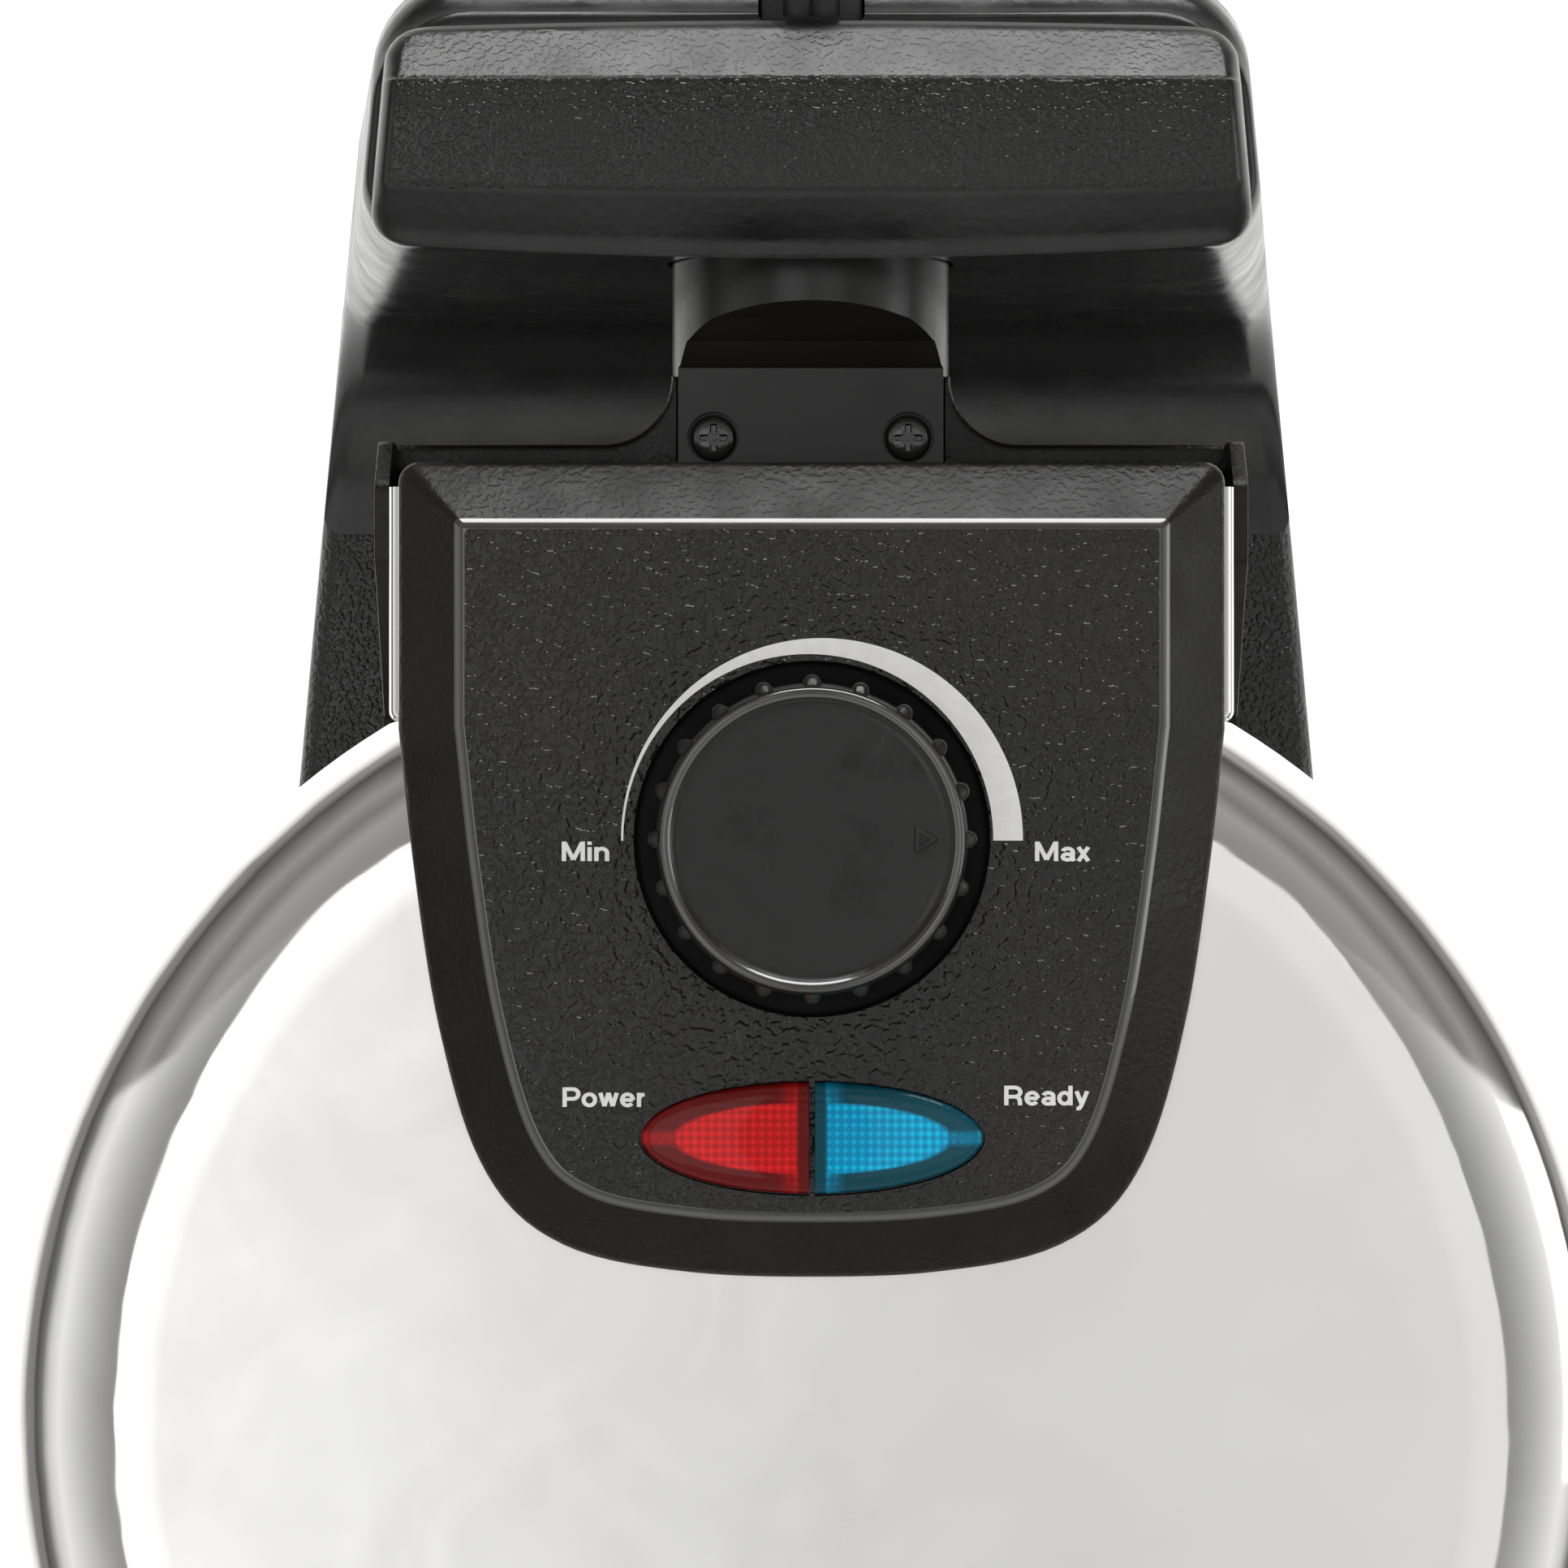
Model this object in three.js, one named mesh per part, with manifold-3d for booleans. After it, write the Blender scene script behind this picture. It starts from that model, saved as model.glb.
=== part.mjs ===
// A rotary donut maker: a round head with two non-stick plates, hinged at the back and turned over
// on a hollow neck that runs in a stand. Millimetres; X to the right, Y from the front handles to the
// stand's post, Z up. The origin is on the table under the centre of the plates.

import * as THREE from 'three';
import { mergeVertices } from 'three/addons/utils/BufferGeometryUtils.js';
import Module from 'manifold-3d';

const wasm = await Module();
wasm.setup();

// Driving dimensions
const GAP = 0.3; // clearance between pieces that touch
const HEAD_R = 105; // outer radius of the two round covers
const HEAD_HALF = 25; // from the parting plane to the flat of either cover
const AXIS_Z = 132; // the head turns about this height
const SHEET = 1; // steel covers
const WALL = 2.5; // plastic mouldings
const ROUND = 44; // sides of every circle as wide as the head

// The lid's hinge, measured from the turning axis
const HINGE_Y = 115;
const HINGE_Z = 14;
const HINGE_PIN_R = 2;

// Donut cavities: four rings in each plate
const PLATE_R = 93;
const PLATE_T = 3;
const CAVITY_PITCH_R = 53;
const CAVITY_RING_R = 22.5;
const CAVITY_HALF_WIDTH = 12.5;
const CAVITY_DEPTH = 9.5;
const CASTING = 2;

// The lid's rear tongue and the control panel on it
const TONGUE_HALF = 54.2;
const TONGUE_END = 119.4;
const PANEL_BACK = 121.7;
const PANEL_TOP = 34;
const PANEL_BEVEL = 7.5;
const KNOB_Y = 74.7;
const KNOB_R = 20.2;
const KNOB_TOP = 46;
const LENS_Y = 37.2;
const LENS_HALF_X = 21.4;
const LENS_HALF_Y = 7;
const LENS_GAP = 0.4; // half of the bar between the two lights
const PANEL_HALF = 51.4;
const SPINDLE_R = 3;

// The neck and the housing round it
const NECK_R = 18.2;
const NECK_FRONT = 122;
const NECK_BACK = 177.5;
const BUSH_R = 20.6;
const LEDGE_Z = 5.5;
const WING_HALF = 56.3;
const WING_BACK = 126;
const WING_FILLET = 9;
const NECK_SCREW_X = 12.75;
const NECK_SCREW_Y = 126.9;

// The handles and the latch between them
const HANDLE_END = 192;
const HANDLE_T = 15.8;
const HANDLE_SCREW_Z = 12;
const LATCH_Y = -141;
const LATCH_Z = 9;
const LATCH_SWING = THREE.MathUtils.degToRad(18);

// The stand: the side walls lean in by SIDE_DRAFT as they rise, and by PLAN_TAPER towards the back
const DECK_Z = 16;
const BASE_BOTTOM = 4;
const BASE_FRONT_R = 85;
const BASE_BACK = 192;
const SIDE_AT_ZERO = 85.42;
const PLAN_TAPER = 0.092;
const SIDE_DRAFT = 0.098;
const POST_FRONT = 150;
const POST_TOP = 156;
const COVE_R = 30;
const TRAY_HALF = 64;
const TRAY_BACK = 78;
const TRAY_TOP = 19;
const FEET = [
  [-52, -42],
  [52, -42],
  [-52, 165],
  [52, 165],
];
const BASE_SCREWS = [
  [-55, 30],
  [55, 30],
  [-50, 150],
  [50, 150],
];

// The flat twin cord
const CORD_WIDE = 7.3;
const CORD_THICK = 3.7;
const COIL_X = 12;
const COIL_Y = 283;
const COIL_R = 37;
const COIL_TOP = 12.5;
const COIL_BAND = 5.5;
const PLUG_X = 59;
const PLUG_T = 12;

const { PI } = Math;
const COLUMN = new THREE.Matrix4().makeRotationX(PI / 2);
const ALONG_X = new THREE.Matrix4().makeBasis(
  new THREE.Vector3(0, 1, 0),
  new THREE.Vector3(0, 0, 1),
  new THREE.Vector3(1, 0, 0),
);

// ---- solids ----

// A manifold from a three.js geometry, with its faces turned outwards.
function solid(geometry) {
  geometry.deleteAttribute('normal');
  geometry.deleteAttribute('uv');
  const merged = mergeVertices(geometry, 1e-4);
  const p = merged.attributes.position.array;
  const index = merged.index.array;
  const faces = [];
  let volume = 0;
  for (let i = 0; i < index.length; i += 3) {
    const [a, b, c] = index.slice(i, i + 3);
    if (a === b || b === c || c === a) continue;
    faces.push(a, b, c);
    const [va, vb, vc] = [a, b, c].map((v) => new THREE.Vector3().fromArray(p, 3 * v));
    volume += va.dot(vb.cross(vc));
  }
  if (volume < 0) faces.reverse();
  return new wasm.Manifold(
    new wasm.Mesh({ numProp: 3, vertProperties: new Float32Array(p), triVerts: new Uint32Array(faces) }),
  );
}

function mesh(name, body, material, parent) {
  const { vertProperties, triVerts } = body.getMesh();
  const geometry = new THREE.BufferGeometry();
  geometry.setAttribute('position', new THREE.BufferAttribute(vertProperties, 3));
  geometry.setIndex(new THREE.BufferAttribute(triVerts, 1));
  geometry.computeVertexNormals();
  const made = new THREE.Mesh(geometry, material);
  made.name = name;
  parent.add(made);
}

function join(...bodies) {
  return bodies.reduce((all, next) => all.add(next));
}

function cut(body, ...tools) {
  return tools.reduce((rest, tool) => rest.subtract(tool), body);
}

function box(x, y, z) {
  const geometry = new THREE.BoxGeometry(x[1] - x[0], y[1] - y[0], z[1] - z[0]);
  return solid(geometry.translate((x[0] + x[1]) / 2, (y[0] + y[1]) / 2, (z[0] + z[1]) / 2));
}

// An upright cylinder at (x, y), from z0 to z1.
function post(x, y, r, z0, z1, sides = 24) {
  const geometry = new THREE.CylinderGeometry(r, r, z1 - z0, sides).applyMatrix4(COLUMN);
  return solid(geometry.translate(x, y, (z0 + z1) / 2));
}

// A cylinder along Y at (x, z).
function rodY(x, z, r, y0, y1, sides = 24) {
  return solid(new THREE.CylinderGeometry(r, r, y1 - y0, sides).translate(x, (y0 + y1) / 2, z));
}

// A cylinder along X at (y, z).
function rodX(y, z, r, x0, x1, sides = 16) {
  const geometry = new THREE.CylinderGeometry(r, r, x1 - x0, sides).rotateZ(PI / 2);
  return solid(geometry.translate((x0 + x1) / 2, y, z));
}

// A ring or disc turned about Z from [radius, height] pairs. Both ends are on the axis, or it closes.
function turned(profile, segments = ROUND) {
  const points = profile.map(([r, z]) => new THREE.Vector2(r, z));
  if (profile[0][0] > 0) points.push(points[0].clone());
  return solid(new THREE.LatheGeometry(points, segments).applyMatrix4(COLUMN));
}

// A ring along Y at (0, 0), between two radii.
function collarY(inner, outer, y0, y1, sides = 28) {
  return cut(rodY(0, 0, outer, y0, y1, sides), rodY(0, 0, inner, y0 - 1, y1 + 1, sides));
}

function polygon(points) {
  return new THREE.Shape(points.map(([x, y]) => new THREE.Vector2(x, y)));
}

function raised(shape, z0, z1, curveSegments = 12) {
  const settings = { depth: z1 - z0, bevelEnabled: false, curveSegments };
  return solid(new THREE.ExtrudeGeometry(shape, settings).translate(0, 0, z0));
}

// A [y, z] outline pulled along X.
function across(shape, x0, x1, curveSegments = 12) {
  const settings = { depth: x1 - x0, bevelEnabled: false, curveSegments };
  const geometry = new THREE.ExtrudeGeometry(shape, settings).translate(0, 0, x0);
  return solid(geometry.applyMatrix4(ALONG_X));
}

// The same solid on the other side of the parting plane.
function below(body) {
  return body.mirror([0, 0, 1]);
}

// ---- materials ----

function material(color, roughness, metalness) {
  return new THREE.MeshStandardMaterial({ color, roughness, metalness });
}

const STEEL = material(0xd2d2cf, 0.22, 1);
const SHAFT_STEEL = material(0xa8a8a6, 0.35, 1);
const SHIELD = material(0xb9babb, 0.45, 1);
const GRAINED_BLACK = material(0x1d1b1a, 0.5, 0);
const GLOSS_BLACK = material(0x121212, 0.18, 0);
const STAND_GREY = material(0x2b2c2e, 0.4, 0);
const NON_STICK = material(0x1b1b1c, 0.42, 0.3);
const RUBBER = material(0x161616, 0.85, 0);
const RED_LENS = material(0xb31217, 0.12, 0);
const BLUE_LENS = material(0x2a8fa5, 0.12, 0);
const LAMP_GLASS = material(0xe4d2c0, 0.1, 0);
const CORD_BLACK = material(0x191919, 0.5, 0);
const BRASS = material(0xb99a4f, 0.3, 1);
const NYLON = material(0xd8d4c8, 0.55, 0);
const CERAMIC = material(0xc9c3b4, 0.6, 0);

// ---- the round covers ----

// The steel cover's section: an upright rim, a quarter-ellipse shoulder and a flat top.
function coverProfile(rim, spring, inset) {
  const top = HEAD_HALF - inset;
  const flat = 85;
  const steps = 4;
  const points = [[0, top]];
  for (let i = 0; i <= steps; i += 1) {
    const angle = (PI / 2) * (1 - i / steps);
    const r = flat + (HEAD_R - flat - inset) * Math.cos(angle);
    points.push([r, spring + (top - spring) * Math.sin(angle)]);
  }
  points.push([HEAD_R - inset, rim]);
  return points;
}

function cover(rim, spring) {
  return turned([...coverProfile(rim, spring, 0), ...coverProfile(rim, spring, SHEET).reverse()]);
}

// The bore that the lid's hinge pin runs in, through everything that it crosses.
function hingeBore() {
  return rodX(HINGE_Y, HINGE_Z, HINGE_PIN_R + GAP, -60, 60);
}

// The lid's steel skin, with the rear tongue that the panel and the hinge sit in.
function lidShell() {
  const rim = 1.5;
  const solidHead = turned([...coverProfile(rim, 8, 0), [0, rim]]);
  const room = turned([...coverProfile(rim - 1, 8, SHEET), [0, rim - 1]]);
  const tongue = box([-TONGUE_HALF, TONGUE_HALF], [30, TONGUE_END], [rim, HEAD_HALF]);
  const side = TONGUE_HALF - SHEET;
  const tongueRoom = box([-side, side], [30, TONGUE_END + 1], [rim - 1, HEAD_HALF - SHEET]);
  const wiring = box([-16, 16], [KNOB_Y - 16, KNOB_Y + 16], [HEAD_HALF - 4, HEAD_HALF + 4]);
  const handleHole = rodY(0, HANDLE_SCREW_Z, 2 + GAP, -110, -95);
  return cut(join(solidHead, tongue), room, tongueRoom, wiring, hingeBore(), handleHole);
}

// The lower steel cover, open at the back for the moulded tongue.
function lowerCover() {
  const tongue = cut(box([-WING_HALF - GAP, WING_HALF + GAP], [60, 130], [0, 30]), post(0, 0, 93, -1, 31, ROUND));
  const handleHole = rodY(0, HANDLE_SCREW_Z, 2 + GAP, -110, -95);
  return below(cut(cover(9.3, 9), tongue, handleHole));
}

// The black ring under the lid's rim, round the plate's flange.
function lidRim() {
  return turned([
    [93.6, 0.5],
    [HEAD_R, 0.5],
    [HEAD_R, 1.2],
    [103.7, 1.2],
    [103.7, 5.5],
    [93.6, 5.5],
  ]);
}

// ---- the plates and what heats them ----

// A half torus round (x, y), rounded upwards from a flat base.
function cavityRing(x, y, halfWidth, depth, base) {
  const steps = 4;
  const profile = [[CAVITY_RING_R - halfWidth, base]];
  for (let i = 1; i < steps; i += 1) {
    const angle = (PI * i) / steps;
    profile.push([CAVITY_RING_R - halfWidth * Math.cos(angle), depth * Math.sin(angle)]);
  }
  profile.push([CAVITY_RING_R + halfWidth, base]);
  return turned(profile, 16).translate([x, y, GAP]);
}

function donutPlate() {
  const centres = [45, 135, 225, 315].map((a) => THREE.MathUtils.degToRad(a));
  const at = centres.map((a) => [CAVITY_PITCH_R * Math.cos(a), CAVITY_PITCH_R * Math.sin(a)]);
  const flange = post(0, 0, PLATE_R, GAP, GAP + PLATE_T, ROUND);
  const [outerHalf, outerDepth] = [CAVITY_HALF_WIDTH + CASTING, CAVITY_DEPTH + CASTING];
  const backs = at.map(([x, y]) => cavityRing(x, y, outerHalf, outerDepth, 1));
  const fronts = at.map(([x, y]) => cavityRing(x, y, CAVITY_HALF_WIDTH, CAVITY_DEPTH, -1));
  return cut(join(flange, ...backs), ...fronts);
}

// A sheathed heating loop across the backs of the four cavities, with two terminals at the rear.
function heatingLoop() {
  const z = 15.6;
  const r = CAVITY_PITCH_R;
  const from = THREE.MathUtils.degToRad(105);
  const turn = THREE.MathUtils.degToRad(330);
  const points = [];
  for (let i = 0; i <= 24; i += 1) {
    const a = from + (turn * i) / 24;
    points.push(new THREE.Vector3(r * Math.cos(a), r * Math.sin(a), z));
  }
  const start = points[0].clone().add(new THREE.Vector3(0, 22, 0));
  const end = points.at(-1).clone().add(new THREE.Vector3(0, 22, 0));
  const route = new THREE.CatmullRomCurve3([start, ...points, end]);
  const section = new THREE.Shape().absarc(0, 0, 2.9, 0, 2 * PI);
  return solid(new THREE.ExtrudeGeometry(section, { steps: 30, extrudePath: route, curveSegments: 4 }));
}

function heatShield() {
  return turned([
    [0, 19.8],
    [84, 19.8],
    [91, 12],
    [91.8, 12.4],
    [84.4, 20.6],
    [0, 20.6],
  ]);
}

// ---- the control panel ----

function plateauOutline() {
  const front = [
    [42.2, 71],
    [39.3, 52.7],
    [34.7, 37.4],
    [28, 30.6],
    [15, 27.9],
    [0, 27.3],
  ].map(([x, y]) => new THREE.Vector2(x, y));
  const mirrored = front.slice(0, -1).reverse().map((p) => new THREE.Vector2(-p.x, p.y));
  const outline = new THREE.Shape().moveTo(-44.2, 89).lineTo(-44.2, 114.2).lineTo(44.2, 114.2).lineTo(44.2, 89);
  return outline.splineThru([...front, ...mirrored, new THREE.Vector2(-44.2, 89)]);
}

// The panel's block, drawn in by inset on every side.
function panelBlock(inset) {
  const top = PANEL_TOP - 1.4 * inset;
  const settings = {
    depth: 12,
    bevelThickness: PANEL_BEVEL - 0.5,
    bevelSize: PANEL_BEVEL,
    bevelOffset: -inset,
    bevelSegments: 1,
    curveSegments: 3,
  };
  const geometry = new THREE.ExtrudeGeometry(plateauOutline(), settings);
  return solid(geometry.translate(0, 0, top - settings.depth - settings.bevelThickness));
}

// Half of the oval light window, on the right of the divider.
function halfLens(grow, z0, z1) {
  const [a, b] = [LENS_HALF_X + grow, LENS_HALF_Y + grow];
  const start = Math.asin((LENS_GAP - grow) / a);
  return raised(new THREE.Shape().absellipse(0, LENS_Y, a, b, start - PI / 2, PI / 2 - start), z0, z1, 10);
}

function controlPanel() {
  const floor = HEAD_HALF + GAP;
  const cap = cut(panelBlock(0), box([-80, 80], [0, 140], [0, floor]));
  const skirt = box([-PANEL_HALF, PANEL_HALF], [TONGUE_END + GAP, PANEL_BACK], [6.3, floor + 2]);
  const recess = post(0, KNOB_Y, KNOB_R + 1.8, PANEL_TOP - 1.5, PANEL_TOP + 5, 32);
  const spindleHole = post(0, KNOB_Y, 4.3, 20, 40, 12);
  const window = halfLens(GAP, 20, 40);
  return cut(join(cap, skirt), panelBlock(WALL), recess, spindleHole, window, window.mirror([1, 0, 0]));
}

function thermostat() {
  const body = box([-13, 13], [KNOB_Y - 13, KNOB_Y + 13], [20.9, 30]);
  return cut(body, box([-14, -7], [KNOB_Y - 14, KNOB_Y - 6], [20, 26]));
}

function lamp(side) {
  return rodX(LENS_Y, 28, 2.1, side * 10 - 7, side * 10 + 7, 12);
}

// The lobed dial, with a dished face, a pointer towards the hottest setting and a bore underneath.
function knob() {
  const lobes = 20;
  const points = 80;
  const outline = [];
  for (let i = 0; i < points; i += 1) {
    const angle = (2 * PI * i) / points;
    const r = KNOB_R + 0.45 * Math.cos(lobes * angle);
    outline.push([r * Math.cos(angle), KNOB_Y + r * Math.sin(angle)]);
  }
  const body = raised(polygon(outline), PANEL_TOP - 1.2, KNOB_TOP);
  const dish = post(0, KNOB_Y, 17.1, KNOB_TOP - 0.9, KNOB_TOP + 1);
  const pointer = raised(
    polygon([
      [12.8, KNOB_Y - 1.6],
      [15.6, KNOB_Y],
      [12.8, KNOB_Y + 1.6],
    ]),
    KNOB_TOP - 1.2,
    KNOB_TOP,
  );
  return cut(join(cut(body, dish), pointer), post(0, KNOB_Y, SPINDLE_R + GAP, 30, 42.3, 20));
}

function knobSpindle() {
  return post(0, KNOB_Y, SPINDLE_R, 30.3, 42, 20);
}

// ---- the hinge, the lower housing and the neck ----

function hingeYoke() {
  const side = TONGUE_HALF - SHEET - GAP;
  const block = box([-side, side], [106.2, TONGUE_END - 0.1], [3, 21.5]);
  const pockets = [-30, 30].map((x) => box([x - 16, x + 16], [105, 111], [1, 19]));
  return cut(block, hingeBore(), ...pockets);
}

function hingePin() {
  return rodX(HINGE_Y, HINGE_Z, HINGE_PIN_R, 0.2 - WING_HALF, WING_HALF - 0.2, 20);
}

// The two wings behind the lid, with fillets that run into the sides of the neck.
function wings() {
  const front = NECK_FRONT + 0.2;
  const corner = 2.4;
  const foot = NECK_R + WING_FILLET;
  const filletY = WING_BACK + WING_FILLET;
  const plan = new THREE.Shape()
    .moveTo(-WING_HALF, front)
    .lineTo(WING_HALF, front)
    .lineTo(WING_HALF, WING_BACK - corner)
    .absarc(WING_HALF - corner, WING_BACK - corner, corner, 0, PI / 2)
    .absarc(foot, filletY, WING_FILLET, -PI / 2, -PI, true)
    .absarc(-foot, filletY, WING_FILLET, 0, -PI / 2, true)
    .absarc(corner - WING_HALF, WING_BACK - corner, corner, PI / 2, PI);
  return raised(plan, -22, LEDGE_Z, 6);
}

// An upright ear beside the lid's tongue, which holds one end of the hinge pin.
function cheek() {
  const outline = polygon([
    [86, -1],
    [126, -1],
    [126, 12],
    [120, 18.5],
    [110, 18.5],
    [106, 14.5],
    [90.4, 2],
    [90.4, -0.6],
    [86, -0.6],
  ]);
  return across(outline, TONGUE_HALF + 0.4, WING_HALF);
}

function lowerHousing() {
  const ring = turned([
    [93.6, 0.5],
    [HEAD_R, 0.5],
    [HEAD_R, 9],
    [102.5, 9],
    [102.5, 5.5],
    [93.6, 5.5],
  ]);
  const tongue = cut(box([-WING_HALF, WING_HALF], [80, WING_BACK], [-HEAD_HALF, -0.5]), post(0, 0, 93.3, -26, 0, ROUND));
  const side = WING_HALF - WALL;
  const room = cut(box([-side, side], [80, 119.5], [-22.5, 1]), post(0, 0, 95.8, -23, 2, ROUND));
  const ears = join(cheek(), cheek().mirror([1, 0, 0]));
  const neckSeat = rodY(0, 0, NECK_R + GAP, NECK_FRONT - 0.2, 140, 32);
  const wireHole = rodY(0, -7.5, 5, 115, 123, 16);
  const handleHole = rodY(0, -HANDLE_SCREW_Z, 2 + GAP, -110, -95);
  const screwHoles = [-1, 1].map((s) => post(s * NECK_SCREW_X, NECK_SCREW_Y, 1.5 + GAP, -18.2, 0, 12));
  const moulding = join(cut(tongue, room), below(ring), wings(), ears);
  return cut(moulding, neckSeat, wireHole, hingeBore(), handleHole, ...screwHoles);
}

// The hollow neck: a round tube with a flat ledge for two screws at its front end.
function neckTube() {
  const tube = rodY(0, 0, NECK_R, NECK_FRONT, NECK_BACK, 32);
  const aboveLedge = across(
    polygon([
      [NECK_FRONT - 1, LEDGE_Z],
      [136.8, LEDGE_Z],
      [143.9, 18.4],
      [143.9, 25],
      [NECK_FRONT - 1, 25],
    ]),
    -20,
    20,
  );
  const bore = rodY(0, 0, 10, 142, NECK_BACK + 1, 16);
  const channel = box([-5, 5], [NECK_FRONT - 1, 143], [-12, -3]);
  const screwHoles = [-1, 1].map((s) =>
    join(
      post(s * NECK_SCREW_X, NECK_SCREW_Y, 1.5 + GAP, -20, 6, 12),
      post(s * NECK_SCREW_X, NECK_SCREW_Y, 3.4, 3.4, 6, 16),
    ),
  );
  return cut(tube, aboveLedge, bore, channel, ...screwHoles);
}

// A cross-headed screw. Its head's underside is at z = 0 and its shank points down.
function screw(headR, headT, shankR, length) {
  const head = post(0, 0, headR, 0, headT, 12);
  const shank = post(0, 0, shankR, -length, 0.1, 8);
  const arm = headR * 0.6;
  const slots = [box([-arm, arm], [-0.4, 0.4], [headT - 0.9, 9]), box([-0.4, 0.4], [-arm, arm], [headT - 0.9, 9])];
  return cut(join(head, shank), ...slots);
}

// ---- handles and latch ----

function handleBlock() {
  const round = 2.5;
  const endR = 17;
  const endY = endR - HANDLE_END;
  const plan = new THREE.Shape()
    .moveTo(-27, -96)
    .bezierCurveTo(-25, -112, -15.5, -116, -15.2, -132)
    .lineTo(-endR, endY)
    .absarc(0, endY, endR, PI, 2 * PI)
    .lineTo(15.2, -132)
    .bezierCurveTo(15.5, -116, 25, -112, 27, -96);
  const settings = {
    depth: HANDLE_T - 2 * round,
    bevelThickness: round,
    bevelSize: round,
    bevelOffset: -round,
    bevelSegments: 1,
    curveSegments: 6,
  };
  const block = solid(new THREE.ExtrudeGeometry(plan, settings).translate(0, 0, 1.2 + round));
  return cut(block, post(0, 0, HEAD_R + GAP, 0, 20, ROUND));
}

function upperHandle() {
  const slot = box([-7.3, 7.3], [-150.8, -133], [0, 20]);
  const pinHole = rodX(LATCH_Y, LATCH_Z, 1.5 + GAP, -12.3, 12.3, 16);
  return cut(handleBlock(), slot, pinHole, rodY(0, HANDLE_SCREW_Z, 2 + GAP, -119, -100, 16));
}

// The lower handle, with a slot for the latch and a pocket behind the lip that the hook catches.
function lowerHandle() {
  const slot = box([-7.3, 7.3], [-152.5, -138], [-20, 0]);
  const pocket = box([-7.3, 7.3], [-152.5, -132], [-20, -7.5]);
  return cut(below(handleBlock()), slot, pocket, rodY(0, -HANDLE_SCREW_Z, 2 + GAP, -119, -100, 16));
}

// The latch hangs from its pin, swung forward clear of the lower handle's lip.
function latch() {
  const outline = polygon([
    [-5, 11.5],
    [-5, 9],
    [-2.5, 7],
    [-2.5, -20.5],
    [3.5, -20.5],
    [6.5, -19.2],
    [6.5, -17],
    [2.5, -17],
    [2.5, 7],
    [4, 9],
    [4, 11.5],
  ]);
  const body = cut(across(outline, -6.8, 6.8), rodX(0, 0, 1.5 + GAP, -8, 8, 16));
  return body.rotate([-THREE.MathUtils.radToDeg(LATCH_SWING), 0, 0]).translate([0, LATCH_Y, LATCH_Z]);
}

// A screw from inside the rim into a handle, at height z.
function handleScrew(z) {
  return screw(3.2, 2.4, 2, 16).rotate([-90, 0, 0]).translate([0, -100.9, z]);
}

// ---- the stand ----

function sideHalf(y, inset) {
  return SIDE_AT_ZERO - inset - PLAN_TAPER * y;
}

// The stand's outline at deck height: a round front, straight tapering sides and two rear corners.
function standPlan(inset) {
  const tilt = Math.atan(PLAN_TAPER);
  const back = BASE_BACK - inset;
  const corner = 14 - inset;
  const side = sideHalf(back - corner, inset);
  return new THREE.Shape()
    .absarc(0, 0, BASE_FRONT_R - inset, PI - tilt, 2 * PI + tilt)
    .lineTo(side, back - corner)
    .quadraticCurveTo(side - 0.8, back, side - corner, back)
    .lineTo(corner - side, back)
    .quadraticCurveTo(0.8 - side, back, -side, back - corner);
}

// The stand's plan raised between two heights, with its sides leaning in.
function standBlock(inset, z0, z1) {
  return raised(standPlan(inset), z0, z1, 12).warp((v) => {
    v[0] *= 1 - (SIDE_DRAFT * (v[2] - DECK_Z)) / sideHalf(v[1], inset);
  });
}

function baseHousing() {
  const recess = box([-TRAY_HALF - 0.4, TRAY_HALF + 0.4], [-95, TRAY_BACK + 0.4], [9, 20]);
  const under = standBlock(WALL, 3, 6.5);
  const underDeck = standBlock(WALL, 3, 13.5).intersect(box([-90, 90], [81, 200], [2, 20]));
  const bosses = [-1, 1].map((s) => post(s * 50, 150, 4, 6.6, 14, 10));
  const holes = BASE_SCREWS.map(([x, y]) => post(x, y, 1.6 + 2 * GAP, 3, 12, 8));
  return cut(join(cut(standBlock(0, BASE_BOTTOM, DECK_Z), recess, under, underDeck), ...bosses), ...holes);
}

function basePlate() {
  const holes = BASE_SCREWS.map(([x, y]) => post(x, y, 1.6 + 2 * GAP, 3, 8, 8));
  return cut(standBlock(WALL + GAP, BASE_BOTTOM, BASE_BOTTOM + 2.2), ...holes);
}

function foot([x, y]) {
  const profile = [
    [0, 0],
    [7.5, 0],
    [9, 1.2],
    [9, 3.7],
    [0, 3.7],
  ];
  return turned(profile, 16).translate([x, y, 0]);
}

// The post's side view: a cove up from the deck, an upright front, a sloping shoulder and back.
function postProfile() {
  const coveZ = DECK_Z + COVE_R;
  const start = Math.asin((DECK_Z + GAP - coveZ) / COVE_R);
  return new THREE.Shape()
    .absarc(POST_FRONT - COVE_R, coveZ, COVE_R, start, 0)
    .lineTo(POST_FRONT, POST_TOP - 4)
    .lineTo(POST_FRONT + 1.5, POST_TOP)
    .lineTo(179, POST_TOP)
    .lineTo(184.2, POST_TOP - 3.8)
    .lineTo(186.3, POST_TOP - 9)
    .lineTo(BASE_BACK + 0.2, DECK_Z + GAP);
}

function postSkin() {
  const outside = standBlock(0, DECK_Z + GAP, POST_TOP + 1).intersect(across(postProfile(), -90, 90, 8));
  const inner = polygon([
    [140, 10],
    [140, 21],
    [149, 33],
    [POST_FRONT + WALL, 46],
    [POST_FRONT + WALL, POST_TOP - WALL],
    [179, POST_TOP - WALL],
    [183.5, 146],
    [189.3, 10],
  ]);
  return cut(outside, standBlock(WALL, 10, 160).intersect(across(inner, -90, 90)));
}

function rearOpening(gap) {
  return box([gap - 46, 46 - gap], [178, 200], [26 + gap, 142 - gap]);
}

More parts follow.
